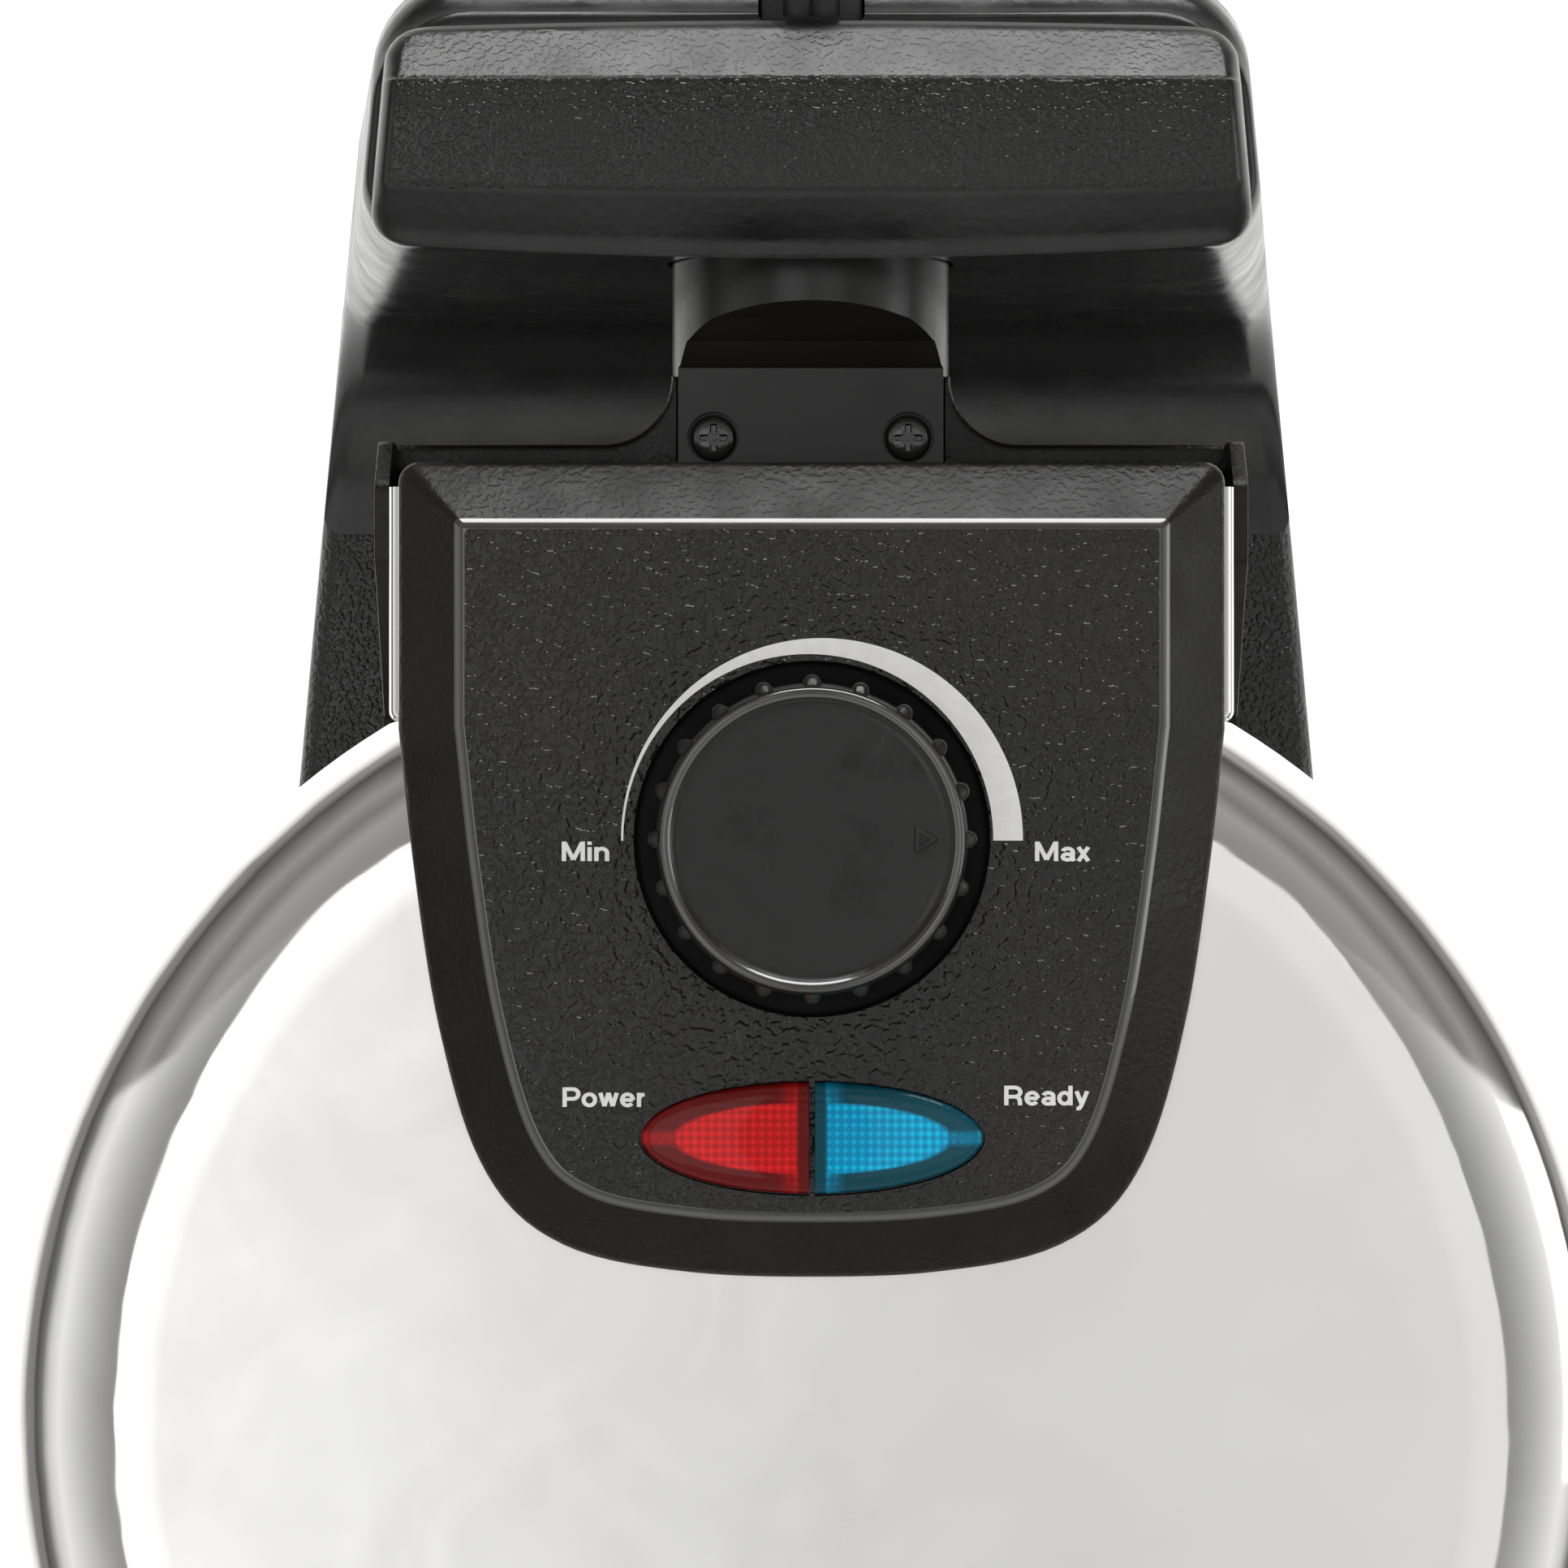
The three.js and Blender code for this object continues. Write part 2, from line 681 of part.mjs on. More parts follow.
function postHousing() {
  const neckHole = rodY(0, AXIS_Z, BUSH_R + GAP, 145, 160, 32);
  const underCap = box([-48, 48], [156, 172], [150, 160]);
  const cordSlot = box([-6.8, 6.8], [178.6, 184.6], [145, 160]);
  return cut(postSkin(), neckHole, underCap, cordSlot, rearOpening(0));
}

function postRearCover() {
  return postSkin().intersect(rearOpening(GAP));
}

function postCap() {
  const bottom = POST_TOP + GAP;
  const profile = polygon([
    [148.4, bottom],
    [178.5, bottom],
    [178.5, 158.2],
    [177.6, 159.2],
    [171.2, 163.6],
    [170.7, 164.4],
    [166, 164.9],
    [160, 164.8],
    [156.3, 164.2],
    [150, 158.4],
    [148.4, 157.6],
  ]);
  const r = 4.6;
  const [front, back] = [148.4, 178.5];
  const [wide, narrow] = [56.3, 53.9];
  const plan = new THREE.Shape()
    .absarc(r - wide, front + r, r, PI, 1.5 * PI)
    .absarc(wide - r, front + r, r, 1.5 * PI, 2 * PI)
    .absarc(narrow - r, back - r, r, 0, PI / 2)
    .absarc(r - narrow, back - r, r, PI / 2, PI);
  const room = box([-48, 48], [155, 173], [150, 161.5]);
  return cut(across(profile, -60, 60).intersect(raised(plan, 150, 170, 5)), room);
}

function strainRelief() {
  const profile = polygon([
    [178.9, 146],
    [183.6, 146],
    [184.3, 150.4],
    [183, 152],
    [178.9, 153.2],
  ]);
  return across(profile, -6.5, 6.5);
}

// The rear bearing's carrier, with two horns that stop the collar's lug at either end of the turn.
function bearingCarrier() {
  const plate = box([-36, 36], [170, 174], [-34, 12]);
  const horns = [-1, 1].map((s) => box([s * 27.5 - 4.5, s * 27.5 + 4.5], [160.5, 170.1], [5.2, 12]));
  return cut(join(plate, ...horns), rodY(0, 0, BUSH_R + GAP, 165, 180, 40));
}

function neckCollar() {
  return join(collarY(NECK_R + GAP, BUSH_R, 160.6, 165), box([BUSH_R - 0.5, 30], [160.6, 165], [-4.5, 4.5]));
}

function terminalBlock() {
  const block = box([34, 52], [160, 174], [60, 70]);
  const wells = [39, 47].map((x) => post(x, 167, 2, 66, 71, 12));
  return cut(block, ...wells);
}

// ---- the drip tray ----

function trayBlock(inset, z0, z1) {
  const side = TRAY_HALF - inset;
  return raised(standPlan(inset), z0, z1, 12).intersect(box([-side, side], [-95, TRAY_BACK - inset], [0, 30]));
}

function dripTray() {
  const grip = box([-22, 22], [-92, -80], [TRAY_TOP - 3, TRAY_TOP]);
  return cut(join(trayBlock(0, 9.3, TRAY_TOP), grip), trayBlock(2, 11, TRAY_TOP + 5));
}

// ---- the cord ----

function cordAlong(points, steps) {
  const curve = new THREE.CatmullRomCurve3(points.map((p) => new THREE.Vector3(...p)), false, 'centripetal');
  const section = new THREE.Shape().absellipse(0, 0, CORD_WIDE / 2, CORD_THICK / 2, 0, 2 * PI);
  return solid(new THREE.ExtrudeGeometry(section, { steps, extrudePath: curve, curveSegments: 4 }));
}

// Out of the post's shoulder, over a wide bend, down behind the stand and along the table to the coil.
function cordLead() {
  return cordAlong(
    [
      [0, 179.7, 155.6],
      [0, 184.2, 157.7],
      [0, 188.8, 159.85],
      [0, 193.4, 161.8],
      [0, 199.6, 163.2],
      [0, 206.1, 163.1],
      [0, 213.7, 161],
      [-0.1, 220.5, 157],
      [-0.4, 225.9, 151.1],
      [-1, 229.5, 144.1],
      [-2.1, 231.2, 136.3],
      [-4.8, 231.7, 122],
      [-8.7, 231.7, 106],
      [-13, 231.6, 90],
      [-17.2, 231.5, 74],
      [-20.8, 231.5, 58],
      [-23.4, 231.6, 43],
      [-24.6, 232, 30.8],
      [-24.9, 233.6, 21.9],
      [-25, 237.6, 13.8],
      [-25, 243.7, 7.5],
      [-25, 251, 3.6],
      [COIL_X - COIL_R, 256, 2.4],
    ],
    34,
  );
}

function cordCoil() {
  const [inner, outer] = [COIL_R - COIL_BAND, COIL_R + COIL_BAND];
  const section = [
    [inner, 2],
    [inner + 2, 0],
    [outer - 2, 0],
    [outer, 2],
    [outer - 1, COIL_TOP],
    [inner + 1, COIL_TOP],
  ];
  return turned(section, 32).translate([COIL_X, COIL_Y, 0]);
}

function cordTail() {
  const y = COIL_Y + COIL_R;
  return cordAlong(
    [
      [COIL_X + 27, y, 8.4],
      [COIL_X + 33, y, 7.5],
      [COIL_X + 40, y, 6.5],
      [PLUG_X - GAP, y, PLUG_T / 2],
    ],
    8,
  );
}

// A two-pin plug on its side: a waisted grip that widens to the face the blades come out of.
function plugBody() {
  const y = COIL_Y + COIL_R;
  const plan = new THREE.Shape()
    .moveTo(PLUG_X, y - 5)
    .lineTo(PLUG_X + 8, y - 6.5)
    .quadraticCurveTo(PLUG_X + 16, y - 7, PLUG_X + 22, y - 11)
    .lineTo(PLUG_X + 30, y - 12)
    .lineTo(PLUG_X + 30, y + 12)
    .lineTo(PLUG_X + 22, y + 11)
    .quadraticCurveTo(PLUG_X + 16, y + 7, PLUG_X + 8, y + 6.5)
    .lineTo(PLUG_X, y + 5);
  return raised(plan, 0, PLUG_T, 5);
}

function plugBlade(side) {
  const x = PLUG_X + 30 + GAP;
  const y = COIL_Y + COIL_R + side * 6.35;
  const middle = PLUG_T / 2;
  return box([x, x + 17], [y - 0.75, y + 0.75], [middle - 3.1, middle + 3.1]);
}

// ---- the assembly ----

const donutMaker = new THREE.Group();
const atAxis = new THREE.Group(); // pieces measured from the turning axis
atAxis.position.z = AXIS_Z;
donutMaker.add(atAxis);

mesh('lid_shell', lidShell(), STEEL, atAxis);
mesh('lid_rim', lidRim(), GLOSS_BLACK, atAxis);
mesh('control_panel', controlPanel(), GRAINED_BLACK, atAxis);
mesh('thermostat', thermostat(), CERAMIC, atAxis);
mesh('power_lens', halfLens(0, 30.8, 35.2).mirror([1, 0, 0]), RED_LENS, atAxis);
mesh('ready_lens', halfLens(0, 30.8, 35.2), BLUE_LENS, atAxis);
mesh('power_lamp', lamp(-1), LAMP_GLASS, atAxis);
mesh('ready_lamp', lamp(1), LAMP_GLASS, atAxis);
mesh('knob', knob(), GLOSS_BLACK, atAxis);
mesh('knob_spindle', knobSpindle(), SHAFT_STEEL, atAxis);
mesh('upper_plate', donutPlate(), NON_STICK, atAxis);
mesh('upper_element', heatingLoop(), SHAFT_STEEL, atAxis);
mesh('upper_heat_shield', heatShield(), SHIELD, atAxis);
mesh('upper_handle', upperHandle(), GLOSS_BLACK, atAxis);
mesh('upper_handle_screw', handleScrew(HANDLE_SCREW_Z), SHAFT_STEEL, atAxis);
mesh('lid_hinge_yoke', hingeYoke(), GLOSS_BLACK, atAxis);
mesh('latch', latch(), GLOSS_BLACK, atAxis);
mesh('latch_pin', rodX(LATCH_Y, LATCH_Z, 1.5, -12, 12, 16), SHAFT_STEEL, atAxis);

mesh('lower_plate', below(donutPlate()), NON_STICK, atAxis);
mesh('lower_element', below(heatingLoop()), SHAFT_STEEL, atAxis);
mesh('lower_heat_shield', below(heatShield()), SHIELD, atAxis);
mesh('lower_cover', lowerCover(), STEEL, atAxis);
mesh('lower_housing', lowerHousing(), GRAINED_BLACK, atAxis);
mesh('lower_handle', lowerHandle(), GLOSS_BLACK, atAxis);
mesh('lower_handle_screw', handleScrew(-HANDLE_SCREW_Z), SHAFT_STEEL, atAxis);
mesh('hinge_pin', hingePin(), SHAFT_STEEL, atAxis);
mesh('neck_tube', neckTube(), GLOSS_BLACK, atAxis);
mesh('neck_collar', neckCollar(), SHAFT_STEEL, atAxis);
[-1, 1].forEach((side, i) => {
  const body = screw(3, 2.4, 1.5, 21.4).translate([side * NECK_SCREW_X, NECK_SCREW_Y, 3.8]);
  mesh(`neck_screw_${i + 1}`, body, GLOSS_BLACK, atAxis);
});

mesh('front_bush', collarY(NECK_R + GAP, BUSH_R, 150.3, 160), NYLON, atAxis);
mesh('rear_bush', collarY(NECK_R + GAP, BUSH_R, 168.5, 176), NYLON, atAxis);
mesh('bearing_carrier', bearingCarrier(), SHIELD, atAxis);

mesh('base_housing', baseHousing(), STAND_GREY, donutMaker);
mesh('base_plate', basePlate(), STAND_GREY, donutMaker);
mesh('post_housing', postHousing(), STAND_GREY, donutMaker);
mesh('post_rear_cover', postRearCover(), STAND_GREY, donutMaker);
mesh('post_cap', postCap(), STAND_GREY, donutMaker);
mesh('terminal_block', terminalBlock(), NYLON, donutMaker);
mesh('strain_relief', strainRelief(), RUBBER, donutMaker);
mesh('drip_tray', dripTray(), STAND_GREY, donutMaker);
FEET.forEach((place, i) => mesh(`foot_${i + 1}`, foot(place), RUBBER, donutMaker));
BASE_SCREWS.forEach(([x, y], i) => {
  const body = screw(3.2, 1.5, 1.6, 4.8).rotate([180, 0, 0]).translate([x, y, 3.7]);
  mesh(`base_screw_${i + 1}`, body, SHAFT_STEEL, donutMaker);
});

mesh('cord', cordLead(), CORD_BLACK, donutMaker);
mesh('cord_coil', cordCoil(), CORD_BLACK, donutMaker);
mesh('cord_tail', cordTail(), CORD_BLACK, donutMaker);
mesh('plug_body', plugBody(), CORD_BLACK, donutMaker);
mesh('plug_blade_1', plugBlade(-1), BRASS, donutMaker);
mesh('plug_blade_2', plugBlade(1), BRASS, donutMaker);

export default donutMaker;
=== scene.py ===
import math
from functools import partial

import bmesh
import bpy
from mathutils import Matrix, Vector


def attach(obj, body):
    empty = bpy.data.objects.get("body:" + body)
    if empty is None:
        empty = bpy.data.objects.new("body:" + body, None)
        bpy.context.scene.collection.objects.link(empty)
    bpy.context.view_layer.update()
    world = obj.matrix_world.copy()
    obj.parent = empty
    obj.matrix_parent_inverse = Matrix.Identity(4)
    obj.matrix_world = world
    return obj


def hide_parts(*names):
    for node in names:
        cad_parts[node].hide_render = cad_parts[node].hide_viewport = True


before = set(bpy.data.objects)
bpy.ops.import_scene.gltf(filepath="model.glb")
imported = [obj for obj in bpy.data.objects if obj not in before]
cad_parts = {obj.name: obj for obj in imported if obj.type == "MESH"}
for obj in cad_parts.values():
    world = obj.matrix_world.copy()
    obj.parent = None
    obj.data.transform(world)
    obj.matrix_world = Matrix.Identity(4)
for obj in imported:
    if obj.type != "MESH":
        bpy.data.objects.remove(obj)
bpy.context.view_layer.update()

MM = 0.001
AXIS = 132  # height of the turning axis above the table
SIDES = (-1, 1)
LEVELS = [("upper", 1, "lid"), ("lower", -1, "head")]  # which way each half lies, and its body
DOWN = (0, 0, 1)  # mirrored along this, an upper part becomes a lower one

# The head
HEAD_R = 105
HEAD_HALF = 25
SHOULDER_R = 85  # where the flat of a cover begins
SHEET = 1
TONGUE_HALF = 53.8
TONGUE_END = 119.4
PLATE_R = 93
CAVITY_OUT = 53  # from the middle of a plate to the middle of each cavity
CAVITY_R = 22.5
HINGE_Y = 115
HINGE_Z = 14
WING_HALF = 56.3
WING_BACK = 126
WING_FILLET = 9
WING_CORNER = 2.4
GRIP_SCREW_Z = 12
LATCH_Y = -141
LATCH_Z = 9

# The neck
LEDGE_Z = 5.5
LEDGE_STEP = [(136.4, 6.4), (139.3, 8.4), (139.5, 9), (141.9, 13), (142.1, 13.8), (143.9, 18.6)]
NECK_R = 18.2
NECK_FRONT = 122
NECK_BACK = 177.5
NECK_SCREWS = [(-12.75, 126.9), (12.75, 126.9)]
BUSH_BORE = 18.5

# The control panel
PANEL_TOP = 34
PANEL_FLOOR = 25.3
PANEL_BEVEL = 8.2
PANEL_HALF = 51.4
KNOB_Y = 74.7
RIBS = 20
RIB_REACH = 1.1
RECESS_R = 22
LENS_Y = 37.2
LENS_HALF = (21.4, 7)
REFLECTOR_HALF = (17.3, 4.5)  # the part of the window painted as lit by its lamp, inside its painted darker rim
CAPITAL = 2.45  # height of the printed capitals
STROKE = 0.185  # a letter's stroke, as a share of its capital's height
PRINT_LOW = PANEL_TOP - 0.1
PRINT_HIGH = PANEL_TOP + 0.05

# The stand
DECK = 16
WALL = 2.5
FRONT_R = 85
SIDE_AT_ZERO = 85.42
PLAN_TAPER = 0.092
SIDE_DRAFT = 0.098
BASE_BACK = 192
STAND_CORNER = 13
BASE_SCREWS = [(-55, 30), (55, 30), (-50, 150), (50, 150)]
FEET = [(-52, -42), (52, -42), (-52, 165), (52, 165)]
POST_FRONT = 150
POST_TOP = 156
POST_BACK = [(16.3, 192.2), (147, 186.3), (152.2, 184.2), (156, 179)]  # height, and the back's y there
COVE_R = 30
CAP_FRONT = 148.4
CAP_BACK = 178.5
CAP_LIP = 157.4
CAP_BORDER = 2.4
CAP_SECTION = [
    (148.4, 157.6), (148.9, 158), (150, 158.7), (153, 161.4), (155.7, 163.75), (156.3, 164.15),
    (157, 164.35), (160, 164.75), (163, 164.9), (166, 164.9), (169.9, 164.6), (170.4, 164.45),
    (170.75, 164), (171.1, 163.75), (171.6, 163.5), (174.5, 161.5), (177.2, 159.6), (177.9, 159),
    (178.5, 158.2),
]
# How far up from its lip the cap stands at each distance in from its side
CAP_SIDE = [
    (0, 0), (0.12, 0.3), (0.3, 0.5), (0.6, 0.68), (1, 0.8), (1.5, 0.9), (2.1, 0.975),
    (CAP_BORDER, 0.99), (2.7, 1),
]

# The cord
CORD_WIDE = 7.3
CORD_THICK = 3.7
COIL = (12, 283)
COIL_R = 37
COIL_TURNS = 2.25
TURN_RISE = 3.95
CLIMB = (0.62, 0.87)  # the share of each turn over which it climbs onto the turn below
PLUG_X = 59
PLUG_Y = COIL[1] + COIL_R


# ---- camera ----

def make_camera():
    data = bpy.data.cameras.new("camera")
    data.lens = 121.9
    data.sensor_width = 36
    camera = bpy.data.objects.new("camera", data)
    camera.location = (-3.5 * MM, 81.6 * MM, 832 * MM)
    bpy.context.scene.collection.objects.link(camera)
    bpy.context.scene.camera = camera


make_camera()


# ---- solids ----

def body_of_points(name, points, faces):
    """A mesh object from points in millimetres, with its faces turned outwards."""
    mesh = bpy.data.meshes.new(name)
    mesh.from_pydata([[c * MM for c in p] for p in points], [], faces)
    work = bmesh.new()
    work.from_mesh(mesh)
    bmesh.ops.remove_doubles(work, verts=work.verts, dist=1e-7)
    bmesh.ops.recalc_face_normals(work, faces=work.faces)
    work.to_mesh(mesh)
    work.free()
    made = bpy.data.objects.new(name, mesh)
    bpy.context.scene.collection.objects.link(made)
    return made


def combine(how, made, *tools):
    """Cuts a piece by its tools, joins them to it or keeps what they share, and uses the tools up."""
    for tool in tools:
        step = made.modifiers.new(how, "BOOLEAN")
        step.operation = how
        step.object = tool
        step.solver = "MANIFOLD"
    result = bpy.data.meshes.new_from_object(made.evaluated_get(bpy.context.evaluated_depsgraph_get()))
    made.modifiers.clear()
    made.data = result
    for tool in tools:
        bpy.data.objects.remove(tool)
    return made


cut = partial(combine, "DIFFERENCE")
join = partial(combine, "UNION")
common = partial(combine, "INTERSECT")


def moved(made, x=0, y=0, z=0, turn=None):
    """The mesh turned about an axis through the origin, such as ('X', 90), and then moved."""
    if turn:
        made.data.transform(Matrix.Rotation(math.radians(turn[1]), 4, turn[0]))
    made.data.transform(Matrix.Translation((x * MM, y * MM, z * MM)))
    return made


def mirrored(made, axis):
    made.data.transform(Matrix.Scale(-1, 4, axis))
    made.data.flip_normals()
    return made


AXES = {
    "z": lambda a, b, c: (a, b, c),
    "x": lambda a, b, c: (c, a, b),
    "y": lambda a, b, c: (b, c, a),
}


def skin(rings):
    """Faces between rings of point numbers. A ring may be one point, said over and over."""
    faces = []
    for low, high in zip(rings, rings[1:]):
        for i in range(len(low)):
            j = (i + 1) % len(low)
            corners = list(dict.fromkeys((low[i], low[j], high[j], high[i])))
            if len(corners) > 2:
                faces.append(corners)
    return faces


def loft(loops, along="z"):
    """A closed body through loops of equally many points. Each point is two numbers and its place along."""
    count = len(loops[0])
    points = [AXES[along](*p) for loop in loops for p in loop]
    rings = [list(range(start, start + count)) for start in range(0, len(points), count)]
    return body_of_points("loft", points, [*skin(rings), rings[0][::-1], rings[-1]])


def turned(profile, sides=192, at=(0, 0), swell=None):
    """A body of revolution from [radius, height] pairs. Its profile starts and ends on the axis, or closes.

    With swell, a function of the angle, a pair's third number says how much of the swelling it has.
    """
    points = []
    rings = []
    for r, z, *share in profile:
        if r < 1e-6:
            rings.append([len(points)] * sides)
            points.append((*at, z))
            continue
        rings.append(list(range(len(points), len(points) + sides)))
        for i in range(sides):
            angle = 2 * math.pi * i / sides
            here = r + share[0] * swell(angle) if swell else r
            points.append((at[0] + here * math.cos(angle), at[1] + here * math.sin(angle), z))
    if profile[0][0] > 1e-6:
        rings.append(rings[0])
    return body_of_points("turned", points, skin(rings))


def grown(outline, by):
    """An anticlockwise outline moved outwards by so much, with mitred corners."""
    result = []
    for i, here in enumerate(outline):
        before, after = outline[i - 1], outline[(i + 1) % len(outline)]
        a = Vector((here[0] - before[0], here[1] - before[1])).normalized()
        b = Vector((after[0] - here[0], after[1] - here[1])).normalized()
        mitre = Vector((a.y + b.y, -a.x - b.x)) / (1 + a.dot(b))
        result.append((here[0] + by * mitre.x, here[1] + by * mitre.y))
    return result


def rounded(corners, steps=6):
    """An outline from [x, y, radius] corners, anticlockwise where the radius swells outwards."""
    outline = []
    for i, (x, y, r) in enumerate(corners):
        here = Vector((x, y))
        before = (Vector(corners[i - 1][:2]) - here).normalized()
        after = (Vector(corners[(i + 1) % len(corners)][:2]) - here).normalized()
        if not r:
            outline.append((x, y))
            continue
        half = before.angle(after) / 2
        reach = r / math.tan(half)
        centre = here + (before + after).normalized() * (r / math.sin(half))
        first = here + before * reach - centre
        last = here + after * reach - centre
        swing = math.atan2(first.x * last.y - first.y * last.x, first.dot(last))
        for k in range(steps + 1):
            spoke = first.copy()
            spoke.rotate(Matrix.Rotation(swing * k / steps, 2))
            outline.append(tuple(centre + spoke))
    return outline


def oblong(x, y, r=0.0, steps=6):
    """A rectangle's outline between two places each way, with its corners rounded."""
    return rounded([(x[0], y[0], r), (x[1], y[0], r), (x[1], y[1], r), (x[0], y[1], r)], steps)


def arc(x, y, across, up, start, end, steps=14):
    """Points on an oval round (x, y), from one angle in degrees to another."""
    angles = [math.radians(start + (end - start) * k / steps) for k in range(steps + 1)]
    return [(x + across * math.cos(a), y + up * math.sin(a)) for a in angles]


def circle(x, y, r, sides=64):
    return arc(x, y, r, r, 0, 360, sides)[:-1]


def plan(front, back, turns, steps=6):
    """A four-cornered outline from the [half width, y] and the corner radius of its front and its back."""
    (near, y0), (far, y1) = front, back
    corners = [(-near, y0, turns[0]), (near, y0, turns[0]), (far, y1, turns[1]), (-far, y1, turns[1])]
    return rounded(corners, steps)


def prism(outline, low, high, top=0.0, bottom=0.0, along="z", steps=4):
    """An outline pulled between two places along an axis, with rounded edges of those radii."""
    first = arc(low + bottom, -bottom, -bottom, bottom, 0, 90, steps) if bottom else [(low, 0)]
    last = arc(high - top, -top, top, top, 90, 0, steps) if top else [(high, 0)]
    return loft([[(*p, z) for p in grown(outline, inset)] for z, inset in first + last], along)


def box(x, y, z, round_by=0.0):
    return prism(oblong(x, y, round_by), z[0], z[1], round_by, round_by)


def rod(along, centre, r, low, high, sides=64, ease=0.0):
    """A round bar along an axis. The centre's two numbers follow that axis in the order x, y, z, x."""
    return prism(circle(*centre, r, sides), low, high, ease, ease, along)


def rods(places, r, low, high, sides=24):
    """Upright round bars, one at each place."""
    return [rod("z", at, r, low, high, sides) for at in places]


def spline(points, steps):
    """Points on a smooth curve through these points, which it doesn't close."""
    points = [Vector(p) for p in points]
    held = [2 * points[0] - points[1], *points, 2 * points[-1] - points[-2]]
    result = []
    for p, q, r, s in zip(held, held[1:], held[2:], held[3:]):
        for k in range(steps):
            t = k / steps
            bend = (2 * p - 5 * q + 4 * r - s) * t * t + (3 * q - p - 3 * r + s) * t * t * t
            result.append((2 * q + (r - p) * t + bend) / 2)
    return [*result, held[-2]]


def between(steps, at):
    """The value at a place, on straight lines between [place, value] pairs."""
    for (a, low), (b, high) in zip(steps, steps[1:]):
        if at <= b:
            return low + (high - low) * (at - a) / (b - a)
    return steps[-1][1]


# ---- materials ----

def shader(name, colour, roughness, **constants):
    """A material, its tree and its shader. What is the same all over is set on the shader's own sockets."""
    made = bpy.data.materials.new(name)
    made.use_nodes = True
    surface = made.node_tree.nodes["Principled BSDF"]
    surface.inputs["Base Color"].default_value = (*colour, 1)
    surface.inputs["Roughness"].default_value = roughness
    for socket, value in constants.items():
        surface.inputs[socket.replace("_", " ")].default_value = value
    return made, made.node_tree, surface


def feed(node, sockets):
    """Links each value to its input, or sets it there where it is a plain number or colour."""
    for socket, value in sockets.items():
        if isinstance(value, bpy.types.NodeSocket):
            node.id_data.links.new(value, node.inputs[socket])
        else:
            node.inputs[socket].default_value = value


def add(tree, kind, sockets, **settings):
    node = tree.nodes.new(f"ShaderNode{kind}")
    for setting, value in settings.items():
        setattr(node, setting, value)
    feed(node, sockets)
    return node


def place(tree, stretch=None):
    """A point's place on its piece, in metres, which stays with the piece as it moves."""
    source = tree.nodes.new("ShaderNodeTexCoord").outputs["Object"]
    if stretch:
        source = add(tree, "Mapping", {"Vector": source, "Scale": stretch}).outputs["Vector"]
    return source


def noise(tree, size_mm, detail=2.0, roughness=0.5, stretch=None, distortion=0.0):
    """A noise value whose grains are about this size."""
    grains = {"Scale": 1 / (size_mm * MM), "Detail": detail, "Roughness": roughness, "Distortion": distortion}
    return add(tree, "TexNoise", {"Vector": place(tree, stretch), **grains}).outputs["Fac"]


def remap(tree, value, low, high, to_low=0.0, to_high=1.0, kind="LINEAR"):
    ends = {"From Min": low, "From Max": high, "To Min": to_low, "To Max": to_high}
    return add(tree, "MapRange", {"Value": value, **ends}, interpolation_type=kind).outputs["Result"]


def sums(tree, operation, first, second):
    return add(tree, "Math", {0: first, 1: second}, operation=operation).outputs["Value"]


def distance(tree, vector):
    return add(tree, "VectorMath", {0: vector}, operation="LENGTH").outputs["Value"]


def blended(tree, share, first, second):
    """A colour that goes from the first to the second as the share goes from 0 to 1."""
    return add(tree, "Mix", {"Factor": share, 6: first, 7: second}, data_type="RGBA").outputs[2]


def ramp(tree, value, colours):
    """A colour from a value, between [place, colour] stops."""
    node = add(tree, "ValToRGB", {"Fac": value})
    stops = node.color_ramp.elements
    while len(stops) < len(colours):
        stops.new(0.5)
    for stop, (at, colour) in zip(stops, colours):
        stop.position = at
        stop.color = (*colour, 1)
    return node.outputs["Color"]


def bump(tree, height, depth_mm, onto=None):
    sockets = {"Height": height, "Distance": depth_mm * MM, "Strength": 1}
    if onto is not None:
        sockets["Normal"] = onto
    return add(tree, "Bump", sockets).outputs["Normal"]


def moulded_black(name, colour, roughness, grain_mm, depth_mm, spread=0.08, specular=0.5, coat=0.0):
    """Black plastic: a fine grain, uneven gloss and a faint drift of tone."""
    made, tree, surface = shader(name, colour, roughness, Specular_IOR_Level=specular, Coat_Weight=coat)
    lighter = tuple(1.5 * c for c in colour)
    coarse = remap(tree, noise(tree, grain_mm, 1.5, 0.45), 0.34, 0.68, kind="SMOOTHERSTEP")
    normal = bump(tree, coarse, depth_mm)
    feed(surface, {
        "Base Color": ramp(tree, noise(tree, 24, 3), [(0.35, colour), (0.75, lighter)]),
        "Roughness": remap(tree, noise(tree, 9, 4), 0.3, 0.7, roughness - spread, roughness + spread),
        "Normal": bump(tree, noise(tree, grain_mm / 3.2, 2), depth_mm / 12, normal),
    })
    return made


LEATHER = moulded_black("leather_grain_black", (0.0096, 0.0084, 0.0077), 0.29, 1.15, 0.22, 0.06, 0.46)
FINE_BLACK = moulded_black("fine_grain_black", (0.009, 0.0078, 0.007), 0.34, 0.9, 0.03, specular=0.26)
SMOOTH_BLACK = moulded_black("smooth_black", (0.015, 0.0139, 0.0131), 0.27, 2.2, 0.006, 0.05, 0.42)
KNOB_BLACK = moulded_black("dial_black", (0.0105, 0.0095, 0.009), 0.34, 2.6, 0.02, 0.16, 0.4)
STAND_BLACK = moulded_black("stand_spark_black", (0.0085, 0.0079, 0.0074), 0.25, 0.85, 0.12, 0.1)
STAND_SMOOTH = moulded_black("stand_smooth_black", (0.0085, 0.008, 0.0078), 0.24, 1.6, 0.008)
STAND_SATIN = moulded_black("stand_satin_black", (0.0105, 0.0098, 0.0092), 0.3, 0.85, 0.03, 0.06, 0.56)
